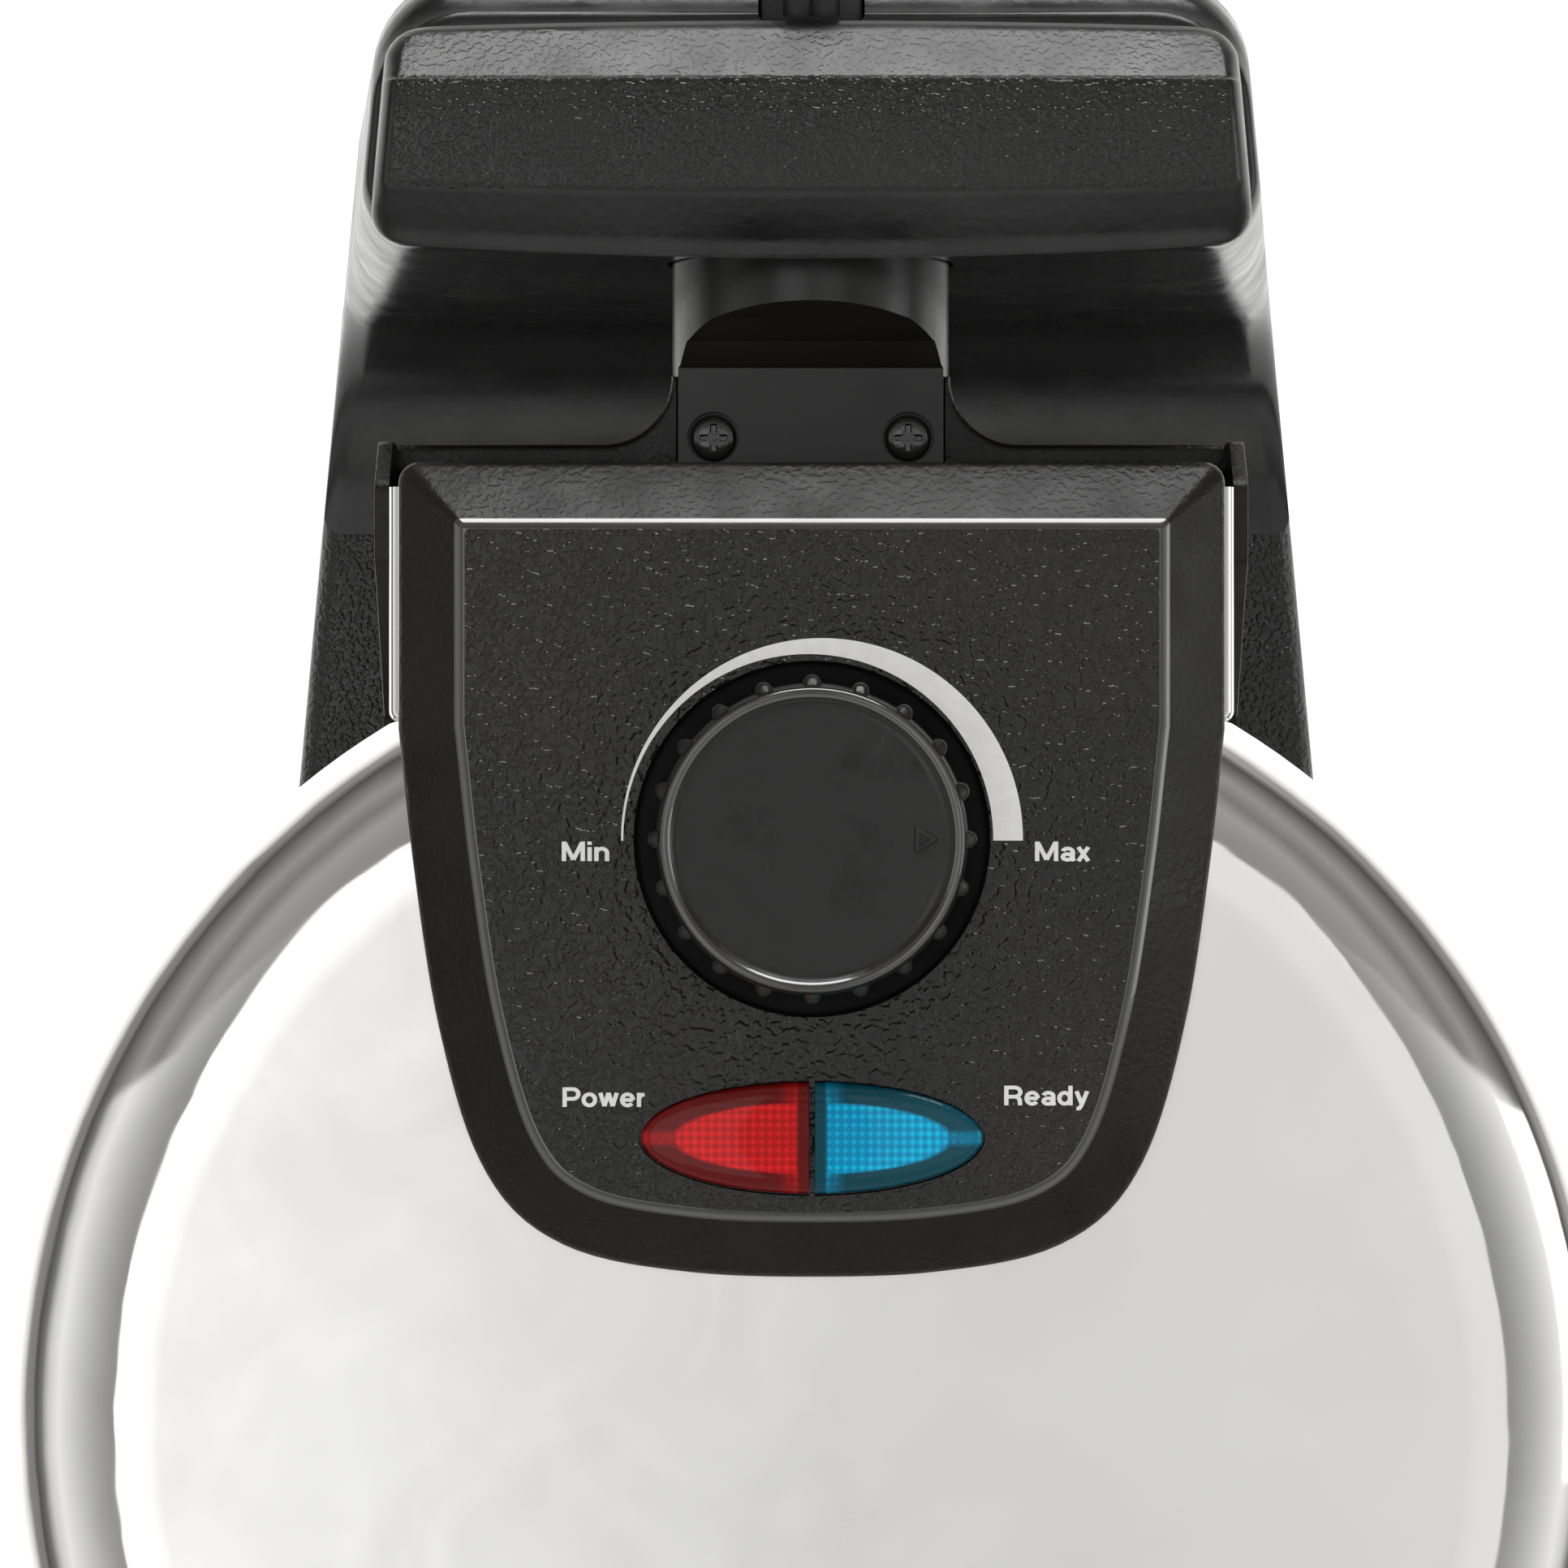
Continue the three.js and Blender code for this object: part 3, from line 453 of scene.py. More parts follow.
# Lighter and glossier than the plateau: its lighter colour is a painted highlight on rounded edges, and its
# high gloss and coat brighten the highlight the lamps make there.
HIGHLIGHT_EDGE_BLACK = moulded_black("painted_highlight_edge_black", (0.016, 0.0145, 0.0135), 0.2, 2.2, 0.004, 0.04, 1.0, 1.0)
HANDLE_BLACK = moulded_black("handle_black", (0.01, 0.0095, 0.0092), 0.34, 0.9, 0.02)
RUBBER = moulded_black("foot_rubber", (0.02, 0.02, 0.02), 0.8, 0.5, 0.03)
VINYL = moulded_black("cord_vinyl", (0.012, 0.012, 0.012), 0.42, 1.1, 0.014)
# A near-black with little gloss: painted shade in the knob's recess and on the skirt in the gap under the
# panel.
PAINTED_SHADE_BLACK = moulded_black("painted_shade_black", (0.004, 0.0036, 0.0034), 0.5, 1.6, 0.006, specular=0.12)
SCREW_BLACK = moulded_black("screw_black", (0.024, 0.023, 0.022), 0.2, 0.6, 0.008, 0.05, 1.0)


def cover_steel():
    """Steel that is polished to a mirror on the shoulder and finely brushed on the flat."""
    made, tree, surface = shader("cover_steel", (0.86, 0.85, 0.83), 0.2, Metallic=1)
    r = distance(tree, place(tree, (1, 1, 0)))
    polish = remap(tree, r, (SHOULDER_R - 2) * MM, (SHOULDER_R + 2) * MM, 0.3, 0.075)
    streak = remap(tree, noise(tree, 14, 4), 0.3, 0.7, -0.03, 0.03)
    wave = bump(tree, noise(tree, 22, 1.5, distortion=0.8), 0.22)
    brushed = noise(tree, 0.5, 2, stretch=(0.02, 1, 1))
    feed(surface, {
        "Base Color": ramp(tree, noise(tree, 40, 2), [(0.3, (0.84, 0.83, 0.81)), (0.7, (0.88, 0.875, 0.86))]),
        "Roughness": sums(tree, "ADD", streak, polish),
        "Normal": bump(tree, brushed, 0.0006, wave),
    })
    return made


def plain_metal(name, colour, roughness, scratch_mm=0.4):
    made, tree, surface = shader(name, colour, roughness, Metallic=1)
    feed(surface, {
        "Roughness": remap(tree, noise(tree, 4, 4), 0.3, 0.7, 0.7 * roughness, 1.3 * roughness),
        "Normal": bump(tree, noise(tree, scratch_mm, 3, stretch=(0.15, 1, 1)), 0.004),
    })
    return made


def non_stick():
    made, tree, surface = shader("non_stick", (0.018, 0.018, 0.019), 0.38, Specular_IOR_Level=0.6)
    speck = remap(tree, noise(tree, 0.35, 2), 0.62, 0.75)
    feed(surface, {
        "Base Color": ramp(tree, speck, [(0, (0.014, 0.014, 0.015)), (1, (0.05, 0.05, 0.052))]),
        "Normal": bump(tree, noise(tree, 0.5, 3), 0.02),
    })
    return made


def speckled(name, colour, roughness):
    made, tree, surface = shader(name, colour, roughness)
    darker = tuple(0.93 * c for c in colour)
    feed(surface, {
        "Base Color": ramp(tree, noise(tree, 1.5, 4), [(0.35, darker), (0.65, colour)]),
        "Normal": bump(tree, noise(tree, 0.6, 3), 0.02),
    })
    return made


def lens(name, bright, edge, side):
    """A clear coloured cap over a diamond-cut reflector. Its lamp's light is painted into its colour:
    brightest inside its rim, with painted glints on the facets and painted shade at the rim and along the
    divider.
    """
    made, tree, surface = shader(
        name, bright, 0.3, Specular_IOR_Level=0.1, Coat_Weight=0.32, Coat_Roughness=0.04)
    diamonds = {"Vector": place(tree), "Scale": 1 / (1.05 * MM), "Randomness": 0}
    checks = add(tree, "TexVoronoi", diamonds, distance="MANHATTAN")
    facet = remap(tree, checks.outputs["Distance"], 0.1, 0.75)
    # Painted glints and shade on the diamond facets, from lighter to darker.
    glint = tuple(min(1, 1.5 * c) for c in bright)
    shade = tuple(0.62 * c for c in bright)
    painted_facet_glints = ramp(tree, facet, [(0, glint), (0.45, bright), (1, shade)])
    split = add(tree, "SeparateXYZ", {"Vector": place(tree)})

    def squared(axis, centre, half):
        away = remap(tree, split.outputs[axis], (centre - half) * MM, (centre + half) * MM, -1, 1)
        return sums(tree, "MULTIPLY", away, away)

    across = squared("X", 0, REFLECTOR_HALF[0])
    away = sums(tree, "ADD", across, squared("Y", LENS_Y, REFLECTOR_HALF[1]))
    # Painted shade: the colour darkens towards the rim and along the straight inner edge by the divider,
    # where it takes the edge colour.
    rim = remap(tree, away, 0.94, 1.06)
    inner_edge_shade = remap(tree, split.outputs["X"], side * 1.6 * MM, side * 2.2 * MM, 1, 0)
    painted_shade_share = sums(tree, "MAXIMUM", rim, inner_edge_shade)
    feed(surface, {
        "Base Color": blended(tree, painted_shade_share, painted_facet_glints, (*edge, 1)),
        "Normal": bump(tree, facet, 0.1),
    })
    return made


def lamp_glass():
    made, tree, surface = shader("lamp_glass", (0.9, 0.8, 0.7), 0.08, Transmission_Weight=0.9)
    feed(surface, {"Normal": bump(tree, noise(tree, 2, 2), 0.01)})
    return made


STEEL = cover_steel()
SHAFT_STEEL = plain_metal("shaft_steel", (0.62, 0.61, 0.6), 0.28)
SHIELD = plain_metal("shield_aluminium", (0.72, 0.72, 0.72), 0.45, 0.8)
BRASS = plain_metal("plug_brass", (0.72, 0.56, 0.28), 0.25)
NON_STICK = non_stick()
NYLON = speckled("nylon", (0.72, 0.69, 0.61), 0.5)
CERAMIC = speckled("ceramic", (0.66, 0.62, 0.53), 0.65)
PRINT = speckled("printed_ink", (0.94, 0.935, 0.93), 0.55)
RED_LENS = lens("red_lens", (1, 0.014, 0.016), (0.16, 0.005, 0.005), -1)
BLUE_LENS = lens("blue_lens", (0.001, 0.55, 1), (0.003, 0.075, 0.11), 1)
LAMP_GLASS = lamp_glass()


# ---- finishing a piece ----

def finish(made, name, body, material, nodes=(), sharp=32):
    """Names a piece, gives it its finish, sets it at its height and rides it on its body."""
    made.name = name
    made.data.name = name
    if body not in ("stand", "tray"):
        moved(made, z=AXIS)
    made.data.materials.clear()
    made.data.materials.append(material)
    made.data.shade_smooth()
    made.data.set_sharp_from_angle(angle=math.radians(sharp))
    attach(made, body)
    if nodes:
        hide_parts(*nodes)
    return made


def stand_piece(made, name, node, material=STAND_BLACK, sharp=32):
    return finish(made, name, "stand", material, [node], sharp)


def bright_piece(made, name, body, node, sharp=32):
    return finish(made, name, body, SHAFT_STEEL, [node], sharp)


def patched(made, materials, choose):
    """Gives some faces other materials: choose says which, from a face's middle and normal."""
    for material in materials:
        made.data.materials.append(material)
    for face in made.data.polygons:
        face.material_index = choose(face.center / MM, face.normal)


# ---- the cord, its coil and its plug ----

# Out of the post's shoulder, over a wide bend, down behind the stand and along the table to the coil.
LEAD = [
    (0, 179.7, 155.6), (0, 184.2, 157.7), (0, 188.8, 159.85), (0, 193.4, 161.8),
    (0, 199.6, 163.2), (0, 206.1, 163.1), (0, 213.7, 161), (-0.1, 220.5, 157),
    (-0.4, 225.9, 151.1), (-1, 229.5, 144.1), (-2.1, 231.2, 136.3), (-4.8, 231.7, 122),
    (-8.7, 231.7, 106), (-13, 231.6, 90), (-17.2, 231.5, 74), (-20.8, 231.5, 58),
    (-23.4, 231.6, 43), (-24.6, 232, 30.8), (-24.9, 233.6, 21.9), (-25, 237.6, 13.8),
    (-25, 243.7, 7.5), (-25, 251, 3.6), (-25, 258, 2.2), (-25, 266, 1.85), (-25, 275, 1.85),
]
TAIL = [(22, 320, 9.7), (31, 320, 9.1), (39, 320, 8.4), (45, 320, 7.5), (52, 320, 6.5), (58.7, 320, 6)]


def coil_route():
    """Turns that lie flat and on each other, clockwise from the left of the coil."""
    points = []
    steps = round(COIL_TURNS * 16)
    for i in range(steps + 1):
        n = COIL_TURNS * i / steps
        angle = math.pi * (1 - 2 * n)
        climbed = min(1, max(0, (n % 1 - CLIMB[0]) / (CLIMB[1] - CLIMB[0])))
        layer = math.floor(n) + climbed * climbed * (3 - 2 * climbed)
        r = COIL_R + 0.7 * math.sin(0.8 * (math.pi - angle))
        z = CORD_THICK / 2 + TURN_RISE * layer
        points.append((COIL[0] + r * math.cos(angle), COIL[1] + r * math.sin(angle), z))
    return points


def cord_section():
    """A twin lead's section: two round lobes and the waist between them."""
    lobe = CORD_THICK / 2
    across = CORD_WIDE / 2
    section = []
    for x, height in circle(0, 0, 1, 32):
        x *= across
        round_part = lobe * lobe - (abs(x) - (across - lobe)) ** 2
        y = max(math.sqrt(max(0, round_part)), 0.9 if abs(x) < across - lobe else 0)
        section.append((x, math.copysign(y, height)))
    return section


def sweep(route, section):
    """A body along a route. The section's first number runs across, and is turned to stay square to it."""
    wide = Vector((1, 0, 0))
    loops = []
    for i, here in enumerate(route):
        ahead = (route[min(i + 1, len(route) - 1)] - route[max(i - 1, 0)]).normalized()
        wide.z *= 0.8
        wide = (wide - ahead * wide.dot(ahead)).normalized()
        up = wide.cross(ahead)
        loops.append([tuple(here + wide * a + up * b) for a, b in section])
    return loft(loops)


def make_plug():
    """A flat two-pin plug on its side, with a ribbed grip."""
    high = 12
    half = [(0, 4.4), (8, 6.2), (15, 7), (19.5, 9), (22, 11), (30, 12)]
    upper = [(PLUG_X + a, PLUG_Y + b) for a, b in spline(half, 6)]
    lower = [(a, 2 * PLUG_Y - b) for a, b in upper]
    made = prism([*lower, *upper[::-1]], 0, high, 2.2, 2.2)
    grooves = []
    for i in range(4):
        x = PLUG_X + 4 + 3.6 * i
        grooves.append(box((x, x + 1.6), (PLUG_Y - 12, PLUG_Y + 12), (high - 0.9, high + 2)))
    return finish(cut(made, *grooves), "plug", "stand", VINYL, ["plug_body"])


def make_blade(number, side):
    x, y, z = 89.3, PLUG_Y + side * 6.35, 6
    outline = rounded([(x, z - 3.1, 0), (x + 17, z - 3.1, 1.6), (x + 17, z + 3.1, 1.6), (x, z + 3.1, 0)])
    made = moved(prism(outline, -0.75, 0.75, 0.2, 0.2), y=y, turn=("X", 90))
    cut(made, rod("y", (z, x + 13), 1.5, y - 2, y + 2, 24))
    name = f"plug_blade_{number}"
    return finish(made, f"{name}_bar", "stand", BRASS, [name])


def make_tie():
    """A soft strap round the turns on the coil's right."""
    outer = oblong((0.1, 8.3), (-4.5, 4.5), 1.5)
    made = cut(prism(outer, -3, 3, 0.3, 0.3, "y"), prism(grown(outer, -0.6), -4, 4, along="y"))
    moved(made, COIL[0] + COIL_R, COIL[1])
    return finish(made, "cord_tie", "stand", RUBBER)


route = spline([*LEAD, *coil_route(), *TAIL], 4)
cord = sweep(route, cord_section())
finish(cord, "cord_lead", "stand", VINYL, ["cord", "cord_coil", "cord_tail"], sharp=60)
on_the_cord = [make_plug(), make_blade(1, -1), make_blade(2, 1), make_tie()]


# ---- the steel covers and the rim ----

def cover_profile(rim, spring, inset):
    """From the centre of a cover's flat, over its quarter-ellipse shoulder and down to its rim."""
    top = HEAD_HALF - inset
    shoulder = arc(SHOULDER_R, spring, HEAD_R - SHOULDER_R - inset, top - spring, 90, 0, 24)
    return [(0, top), (SHOULDER_R - 9, top), *shoulder, (HEAD_R - inset, rim)]


def hinge_bore():
    return rod("x", (HINGE_Y, HINGE_Z), 2.3, -60, 60, 32)


def grip_screw_hole(z, front=-125, back=-95, sides=24):
    return rod("y", (z, 0), 2.3, front, back, sides)


def make_lid_shell():
    rim = 1.5
    made = turned([*cover_profile(rim, 8, 0), (0, rim)])
    room = turned([*cover_profile(rim - 1, 8, SHEET), (0, rim - 1)])
    side = TONGUE_HALF
    seat = prism(plateau(PANEL_BEVEL - 0.7, 2), rim, HEAD_HALF)
    tongue = join(box((-side, side), (89.5, TONGUE_END + 3), (rim, HEAD_HALF), 1.4), seat)
    inner = side - SHEET
    seat_room = prism(plateau(PANEL_BEVEL - 1.7, 1), rim - 5, HEAD_HALF - SHEET)
    tongue_room = box((-inner, inner), (90.5, TONGUE_END + 6), (rim - 5, HEAD_HALF - SHEET), 0.8)
    back = box((-60, 60), (TONGUE_END, TONGUE_END + 9), (-9, 30))
    wiring = box((-16, 16), (KNOB_Y - 16, KNOB_Y + 16), (HEAD_HALF - 4, HEAD_HALF + 4), 2)
    below_rim = box((-70, 70), (20, 130), (-10, rim))
    openings = [back, wiring, below_rim, hinge_bore(), grip_screw_hole(GRIP_SCREW_Z)]
    cut(join(made, tongue), room, join(tongue_room, seat_room), *openings)
    finish(made, "lid_cover", "lid", STEEL, ["lid_shell"])


def make_lower_cover():
    rim = 9.3
    inside = cover_profile(rim, 9, SHEET)[::-1][:-1]
    made = turned([*cover_profile(rim, 9, 0), *inside, (0, HEAD_HALF - SHEET), (0, HEAD_HALF)])
    half = WING_HALF + 0.3
    tongue = cut(box((-half, half), (60, 130), (0, 30)), rod("z", (0, 0), 93, -1, 31, 192))
    cut(made, tongue, grip_screw_hole(GRIP_SCREW_Z))
    finish(mirrored(made, DOWN), "underside_cover", "head", STEEL, ["lower_cover"])


def make_lid_rim():
    foot = [(93.6, 0.5), (104.6, 0.5), (HEAD_R, 0.75), (HEAD_R, 1.2)]
    section = [*foot, (103.7, 1.2), (103.7, 5.5), (93.6, 5.5)]
    finish(turned(section), "lid_seal", "lid", SMOOTH_BLACK, ["lid_rim"])


# ---- the control panel ----

def plateau(grow, corner):
    """The panel's plan moved outwards, with its two rear corners eased."""
    front = [(42.2, 71), (39.3, 52.7), (34.7, 37.4), (28, 30.6), (15, 27.9), (0, 27.3)]
    left = [(-44.2, 89), *[(-x, y) for x, y in front]]
    swept = [tuple(p) for p in spline([*left, *front[-2::-1], (44.2, 89)], 8)]
    outline = grown([(44.2, 114.2), (-44.2, 114.2), *swept], grow)
    return rounded([(x, y, corner if i < 2 else 0) for i, (x, y) in enumerate(outline)], 5)


def panel_block(edges):
    """A loft from [outward, height, corner] steps, lowest first."""
    return loft([[(*p, z) for p in plateau(grow, corner)] for grow, z, corner in edges])


def panel_finish(centre, normal):
    """The plateau keeps its leather grain and the bevels are finer. Its rounded edge takes a lighter,
    glossier black as a painted highlight, and the knob's recess and the skirt take a near-black as painted
    shade.
    """
    height = centre.z - AXIS
    off_knob = math.hypot(centre.x, centre.y - KNOB_Y)
    # Painted shade in the knob's recess and on the skirt.
    if (off_knob < RECESS_R + 0.6 and height < 33.9) or height < 26.5:
        return 2
    # Painted highlight on the plateau's rounded edge.
    if off_knob > RECESS_R + 1 and 33.35 < height < 33.95:
        return 3
    return 1 if normal.z < 0.93 else 0


def make_panel():
    full = PANEL_BEVEL
    made = panel_block([
        (full - 0.2, PANEL_FLOOR, 2.6), (full, PANEL_FLOOR + 0.2, 2.6), (full, 26.6, 2.6),
        (full - 0.12, 26.95, 2.6), (full - 0.45, 27.35, 2.5), (full - 0.8, 27.7, 2.4),
        (4, 30.45, 1.6), (0.75, 33.28, 0.8), (0.45, 33.52, 0.75), (0.12, 33.74, 0.7), (-0.25, 33.9, 0.65),
        (-0.6, 33.98, 0.6), (-0.95, PANEL_TOP, 0.5), (-1.6, PANEL_TOP, 0.5),
    ])
    skirt = box((-PANEL_HALF, PANEL_HALF), (TONGUE_END + 0.3, 121.7), (6.3, 27), 0.5)
    room = panel_block([(4.6, 20, 1), (4.6, 25.9, 1), (-1.6, 31.5, 0.5)])
    recess = prism(circle(0, KNOB_Y, RECESS_R, 128), PANEL_TOP - 1.5, PANEL_TOP + 4)
    eased = [(0, -0.35), (RECESS_R, -0.35), (RECESS_R + 0.5, 0.1), (0, 0.1)]
    lead_in = turned([(r, PANEL_TOP + z) for r, z in eased], 128, (0, KNOB_Y))
    spindle = rod("z", (0, KNOB_Y), 4.3, 20, 40, 32)
    divider = box((-0.35, 0.35), (LENS_Y - 9, LENS_Y + 9), (10, 50))
    window = cut(prism(ellipse(0.3), 20, 40), divider)
    cut(join(made, skirt), room, recess, lead_in, spindle, window)
    finish(made, "panel", "lid", LEATHER, ["control_panel"])
    patched(made, (FINE_BLACK, PAINTED_SHADE_BLACK, HIGHLIGHT_EDGE_BLACK), panel_finish)


def ellipse(grow, scale=1.0, sides=96):
    a, b = (scale * (half + grow) for half in LENS_HALF)
    half_step = 180 / sides
    return arc(0, LENS_Y, a, b, half_step, 360 + half_step, sides)[:-1]


def make_lens(side, name, material):
    dome = [(1, 30.8), (1, 33.7), (0.992, 34.0), (0.975, 34.25), (0.945, 34.45), (0.9, 34.6), (0.8, 34.8),
            (0.65, 34.98), (0.45, 35.1), (0.2, 35.18), (0.02, 35.2)]
    made = loft([[(*p, z) for p in ellipse(0, scale)] for scale, z in dome])
    half = sorted((side * 0.4, side * 30))
    common(made, box(half, (LENS_Y - 12, LENS_Y + 12), (20, 50)))
    finish(made, f"{name}_cap", "lid", material, [name], sharp=50)


def make_scale_ring():
    """The crescent behind the dial: a larger circle less a smaller one, cut off level with its centre."""
    below, above = PRINT_LOW - 1, PRINT_HIGH + 1
    made = prism(circle(1.27, KNOB_Y, 25.2, 256), PRINT_LOW, PRINT_HIGH)
    cut(made, prism(circle(-0.46, KNOB_Y, 23.2, 256), below, above))
    cut(made, box((-40, 40), (KNOB_Y - 60, KNOB_Y - 0.2), (below, above)))
    finish(made, "scale_crescent", "lid", PRINT)


# Letters as strokes along their middle lines. Capitals are 1 high, and each letter ends with its advance.
STEM = [(0.1, 0), (0.1, 1)]
SHORT_STEM = [(0.1, 0), (0.1, 0.72)]
LETTERS = {
    "M": ([STEM, [(0.9, 0), (0.9, 1)], [(0.14, 0.93), (0.5, 0.07)], [(0.86, 0.93), (0.5, 0.07)]], 1.09),
    "P": ([STEM, [(0.1, 0.91), (0.45, 0.91), *arc(0.45, 0.66, 0.25, 0.25, 90, -90), (0.1, 0.41)]], 0.84),
    "R": ([STEM, [(0.1, 0.91), (0.45, 0.91), *arc(0.45, 0.675, 0.25, 0.235, 90, -90), (0.1, 0.44)],
           [(0.45, 0.44), *arc(0.45, 0.22, 0.23, 0.22, 90, 10), (0.69, 0)]], 0.88),
    "i": ([SHORT_STEM, [(0.1, 0.83), (0.1, 1)]], 0.29),
    "n": ([SHORT_STEM, [*arc(0.325, 0.41, 0.225, 0.225, 170, 0), (0.55, 0)]], 0.73),
    "a": ([[*arc(0.3, 0.47, 0.21, 0.17, 165, 0), (0.51, 0.12), (0.56, 0)],
           arc(0.29, 0.215, 0.2, 0.145, 0, 360)], 0.68),
    "x": ([[(0.07, 0), (0.49, 0.72)], [(0.49, 0), (0.07, 0.72)]], 0.63),
    "o": ([arc(0.34, 0.36, 0.25, 0.285, 0, 360, 28)], 0.75),
    "w": ([[(0.07, 0.72), (0.25, 0.04)], [(0.25, 0.04), (0.43, 0.72)], [(0.43, 0.72), (0.61, 0.04)],
           [(0.61, 0.04), (0.79, 0.72)]], 0.93),
    "e": ([arc(0.33, 0.36, 0.24, 0.285, 0, 320, 24), [(0.1, 0.355), (0.57, 0.355)]], 0.73),
    "r": ([SHORT_STEM, arc(0.36, 0.38, 0.26, 0.255, 175, 95)], 0.49),
    "d": ([arc(0.32, 0.36, 0.23, 0.28, 0, 360, 24), [(0.57, 0), (0.57, 1)]], 0.76),
    "y": ([[(0.07, 0.72), (0.3, 0.05)], [(0.53, 0.72), (0.28, 0.0), (0.2, -0.16), (0.07, -0.17)]], 0.6),
}


def stroke_prisms(line, x):
    """One block for each straight piece of a stroke, long enough to close its bends."""
    ends = 0.03 if len(line) > 2 else 0
    blocks = []
    for i in range(len(line) - 1):
        a, b = Vector(line[i]), Vector(line[i + 1])
        if (b - a).length < 0.01:
            continue
        along = (b - a).normalized()
        side = Vector((-along.y, along.x)) * STROKE / 2
        a, b = a - along * ends * (i > 0), b + along * ends * (i < len(line) - 2)
        corners = [(x + CAPITAL * p.x, CAPITAL * p.y) for p in (a - side, b - side, b + side, a + side)]
        blocks.append(prism(corners, PRINT_LOW, PRINT_HIGH))
    return blocks


def make_word(text, x, baseline, width):
    """A word in plain bold letters, centred on x."""
    pieces = []
    along = 0
    for letter in text:
        strokes, advance = LETTERS[letter]
        for line in strokes:
            pieces += stroke_prisms(line, CAPITAL * along)
        along += advance
    made = join(*pieces)
    natural = CAPITAL * (along - 0.08)
    made.data.transform(Matrix.Diagonal((width / natural, 1, 1, 1)))
    moved(made, x - width / 2, baseline)
    finish(made, f"word_{text.lower()}", "lid", PRINT)


# ---- the dial ----

def rib_swell(angle):
    """How far a rib stands out at this angle, up to its whole reach."""
    off = (angle * RIBS / (2 * math.pi) + 0.5) % 1 - 0.5
    return RIB_REACH * math.sqrt(max(0, 1 - (off * 2 * math.pi * 19.4 / RIBS / 1.1) ** 2))


def make_knob():
    """A dished face inside a raised rim, over a wall with twenty short ribs."""
    face = [(0, 45.05), (8, 45.05), (16.2, 45.05), (16.9, 45.1), (17.3, 45.3), (17.6, 45.6), (17.9, 45.85),
            (18.2, 45.97), (18.5, 45.95), (18.75, 45.75), (18.9, 45.4), (19.0, 44.8)]
    wall = [(19.05, 44.3, 0.1), (19.15, 43.9, 0.65), (19.2, 43.5, 0.95), (19.25, 42.8, 1), (19.5, 38, 1),
            (19.6, 33.2, 1), (19.4, 32.9, 0.8), (0, 32.8, 0)]
    made = turned([*[(r, z, 0) for r, z in face], *wall], 600, (0, KNOB_Y), rib_swell)
    cut(made, rod("z", (0, KNOB_Y), 3.3, 30, 42.3, 32))
    finish(made, "dial", "knob", KNOB_BLACK, ["knob"], sharp=40)
    # The rim's crest takes the lighter, glossier black: a painted highlight ring.
    patched(made, [HIGHLIGHT_EDGE_BLACK], lambda centre, normal: int(centre.z > AXIS + 45.65))
    tip = rounded([(12.6, KNOB_Y - 1.75, 0.3), (15.7, KNOB_Y, 0.3), (12.6, KNOB_Y + 1.75, 0.3)])
    hollow = rounded([(13.15, KNOB_Y - 0.95, 0.15), (14.7, KNOB_Y, 0.15), (13.15, KNOB_Y + 0.95, 0.15)])
    pointer = cut(prism(tip, 44.8, 45.55, 0.3), prism(hollow, 45.15, 46))
    finish(pointer, "dial_pointer", "knob", KNOB_BLACK)
    bright_piece(rod("z", (0, KNOB_Y), 3, 30.3, 42, 32, 0.2), "dial_spindle", "knob", "knob_spindle")


make_lid_shell()
make_lower_cover()
make_lid_rim()
make_panel()
make_lens(-1, "power_lens", RED_LENS)
make_lens(1, "ready_lens", BLUE_LENS)
make_scale_ring()
make_word("Min", -28.4, 71.93, 6.0)
make_word("Max", 31.4, 71.93, 6.9)
make_word("Power", -26.05, 41.1, 10.5)
make_word("Ready", 29.3, 41.3, 10.4)
make_knob()


# ---- the stand ----

def side_half(y, z=DECK):
    return SIDE_AT_ZERO - PLAN_TAPER * y - SIDE_DRAFT * (z - DECK)


def stand_outline(inset):
    """The stand's plan at deck height, anticlockwise: round front, tapering sides, two rear corners."""
    tilt = math.degrees(math.atan(PLAN_TAPER))
    r = FRONT_R - inset
    front = arc(0, 0, r, r, 180 - tilt, 360 + tilt, 72)
    back = BASE_BACK - inset
    half = side_half(back) - inset
    turn = STAND_CORNER - inset
    right = [(side_half(y) - inset, y) for y in (30, 60, 90, 110, 118, 124, 130, 140, 155)]
    corners = plan((half, 150), (half, back), (0, turn), 8)[2:]
    return [*front, *right, *corners, *[(-x, y) for x, y in right[::-1]]]


def leaning(outline, z):
    """The outline at a height, which its leaning sides have drawn in, with that height."""
    return [(x * (1 - SIDE_DRAFT * (z - DECK) / side_half(y)), y, z) for x, y in outline]


def eased(outline, reach):
    """The outline drawn in by reach where nothing stands on it, and less and less towards the post."""
    result = []
    for (x, y), (u, v) in zip(outline, grown(outline, -reach)):
        share = min(1, max(0, (134 - y) / 16))
        result.append((x + (u - x) * share, y + (v - y) * share))
    return result


def stand_block(inset, low, high, ease=0.0):
    outline = stand_outline(inset)
    if not ease:
        return loft([leaning(outline, low), leaning(outline, high)])
    loops = [leaning(grown(outline, -0.8), low), leaning(outline, low + 0.8)]
    edge = arc(high - ease, ease, ease, -ease, 90, 0, 6)
    loops += [leaning(eased(outline, reach), z) for z, reach in [*edge, (high, 1.5 * ease)]]
    return loft(loops)


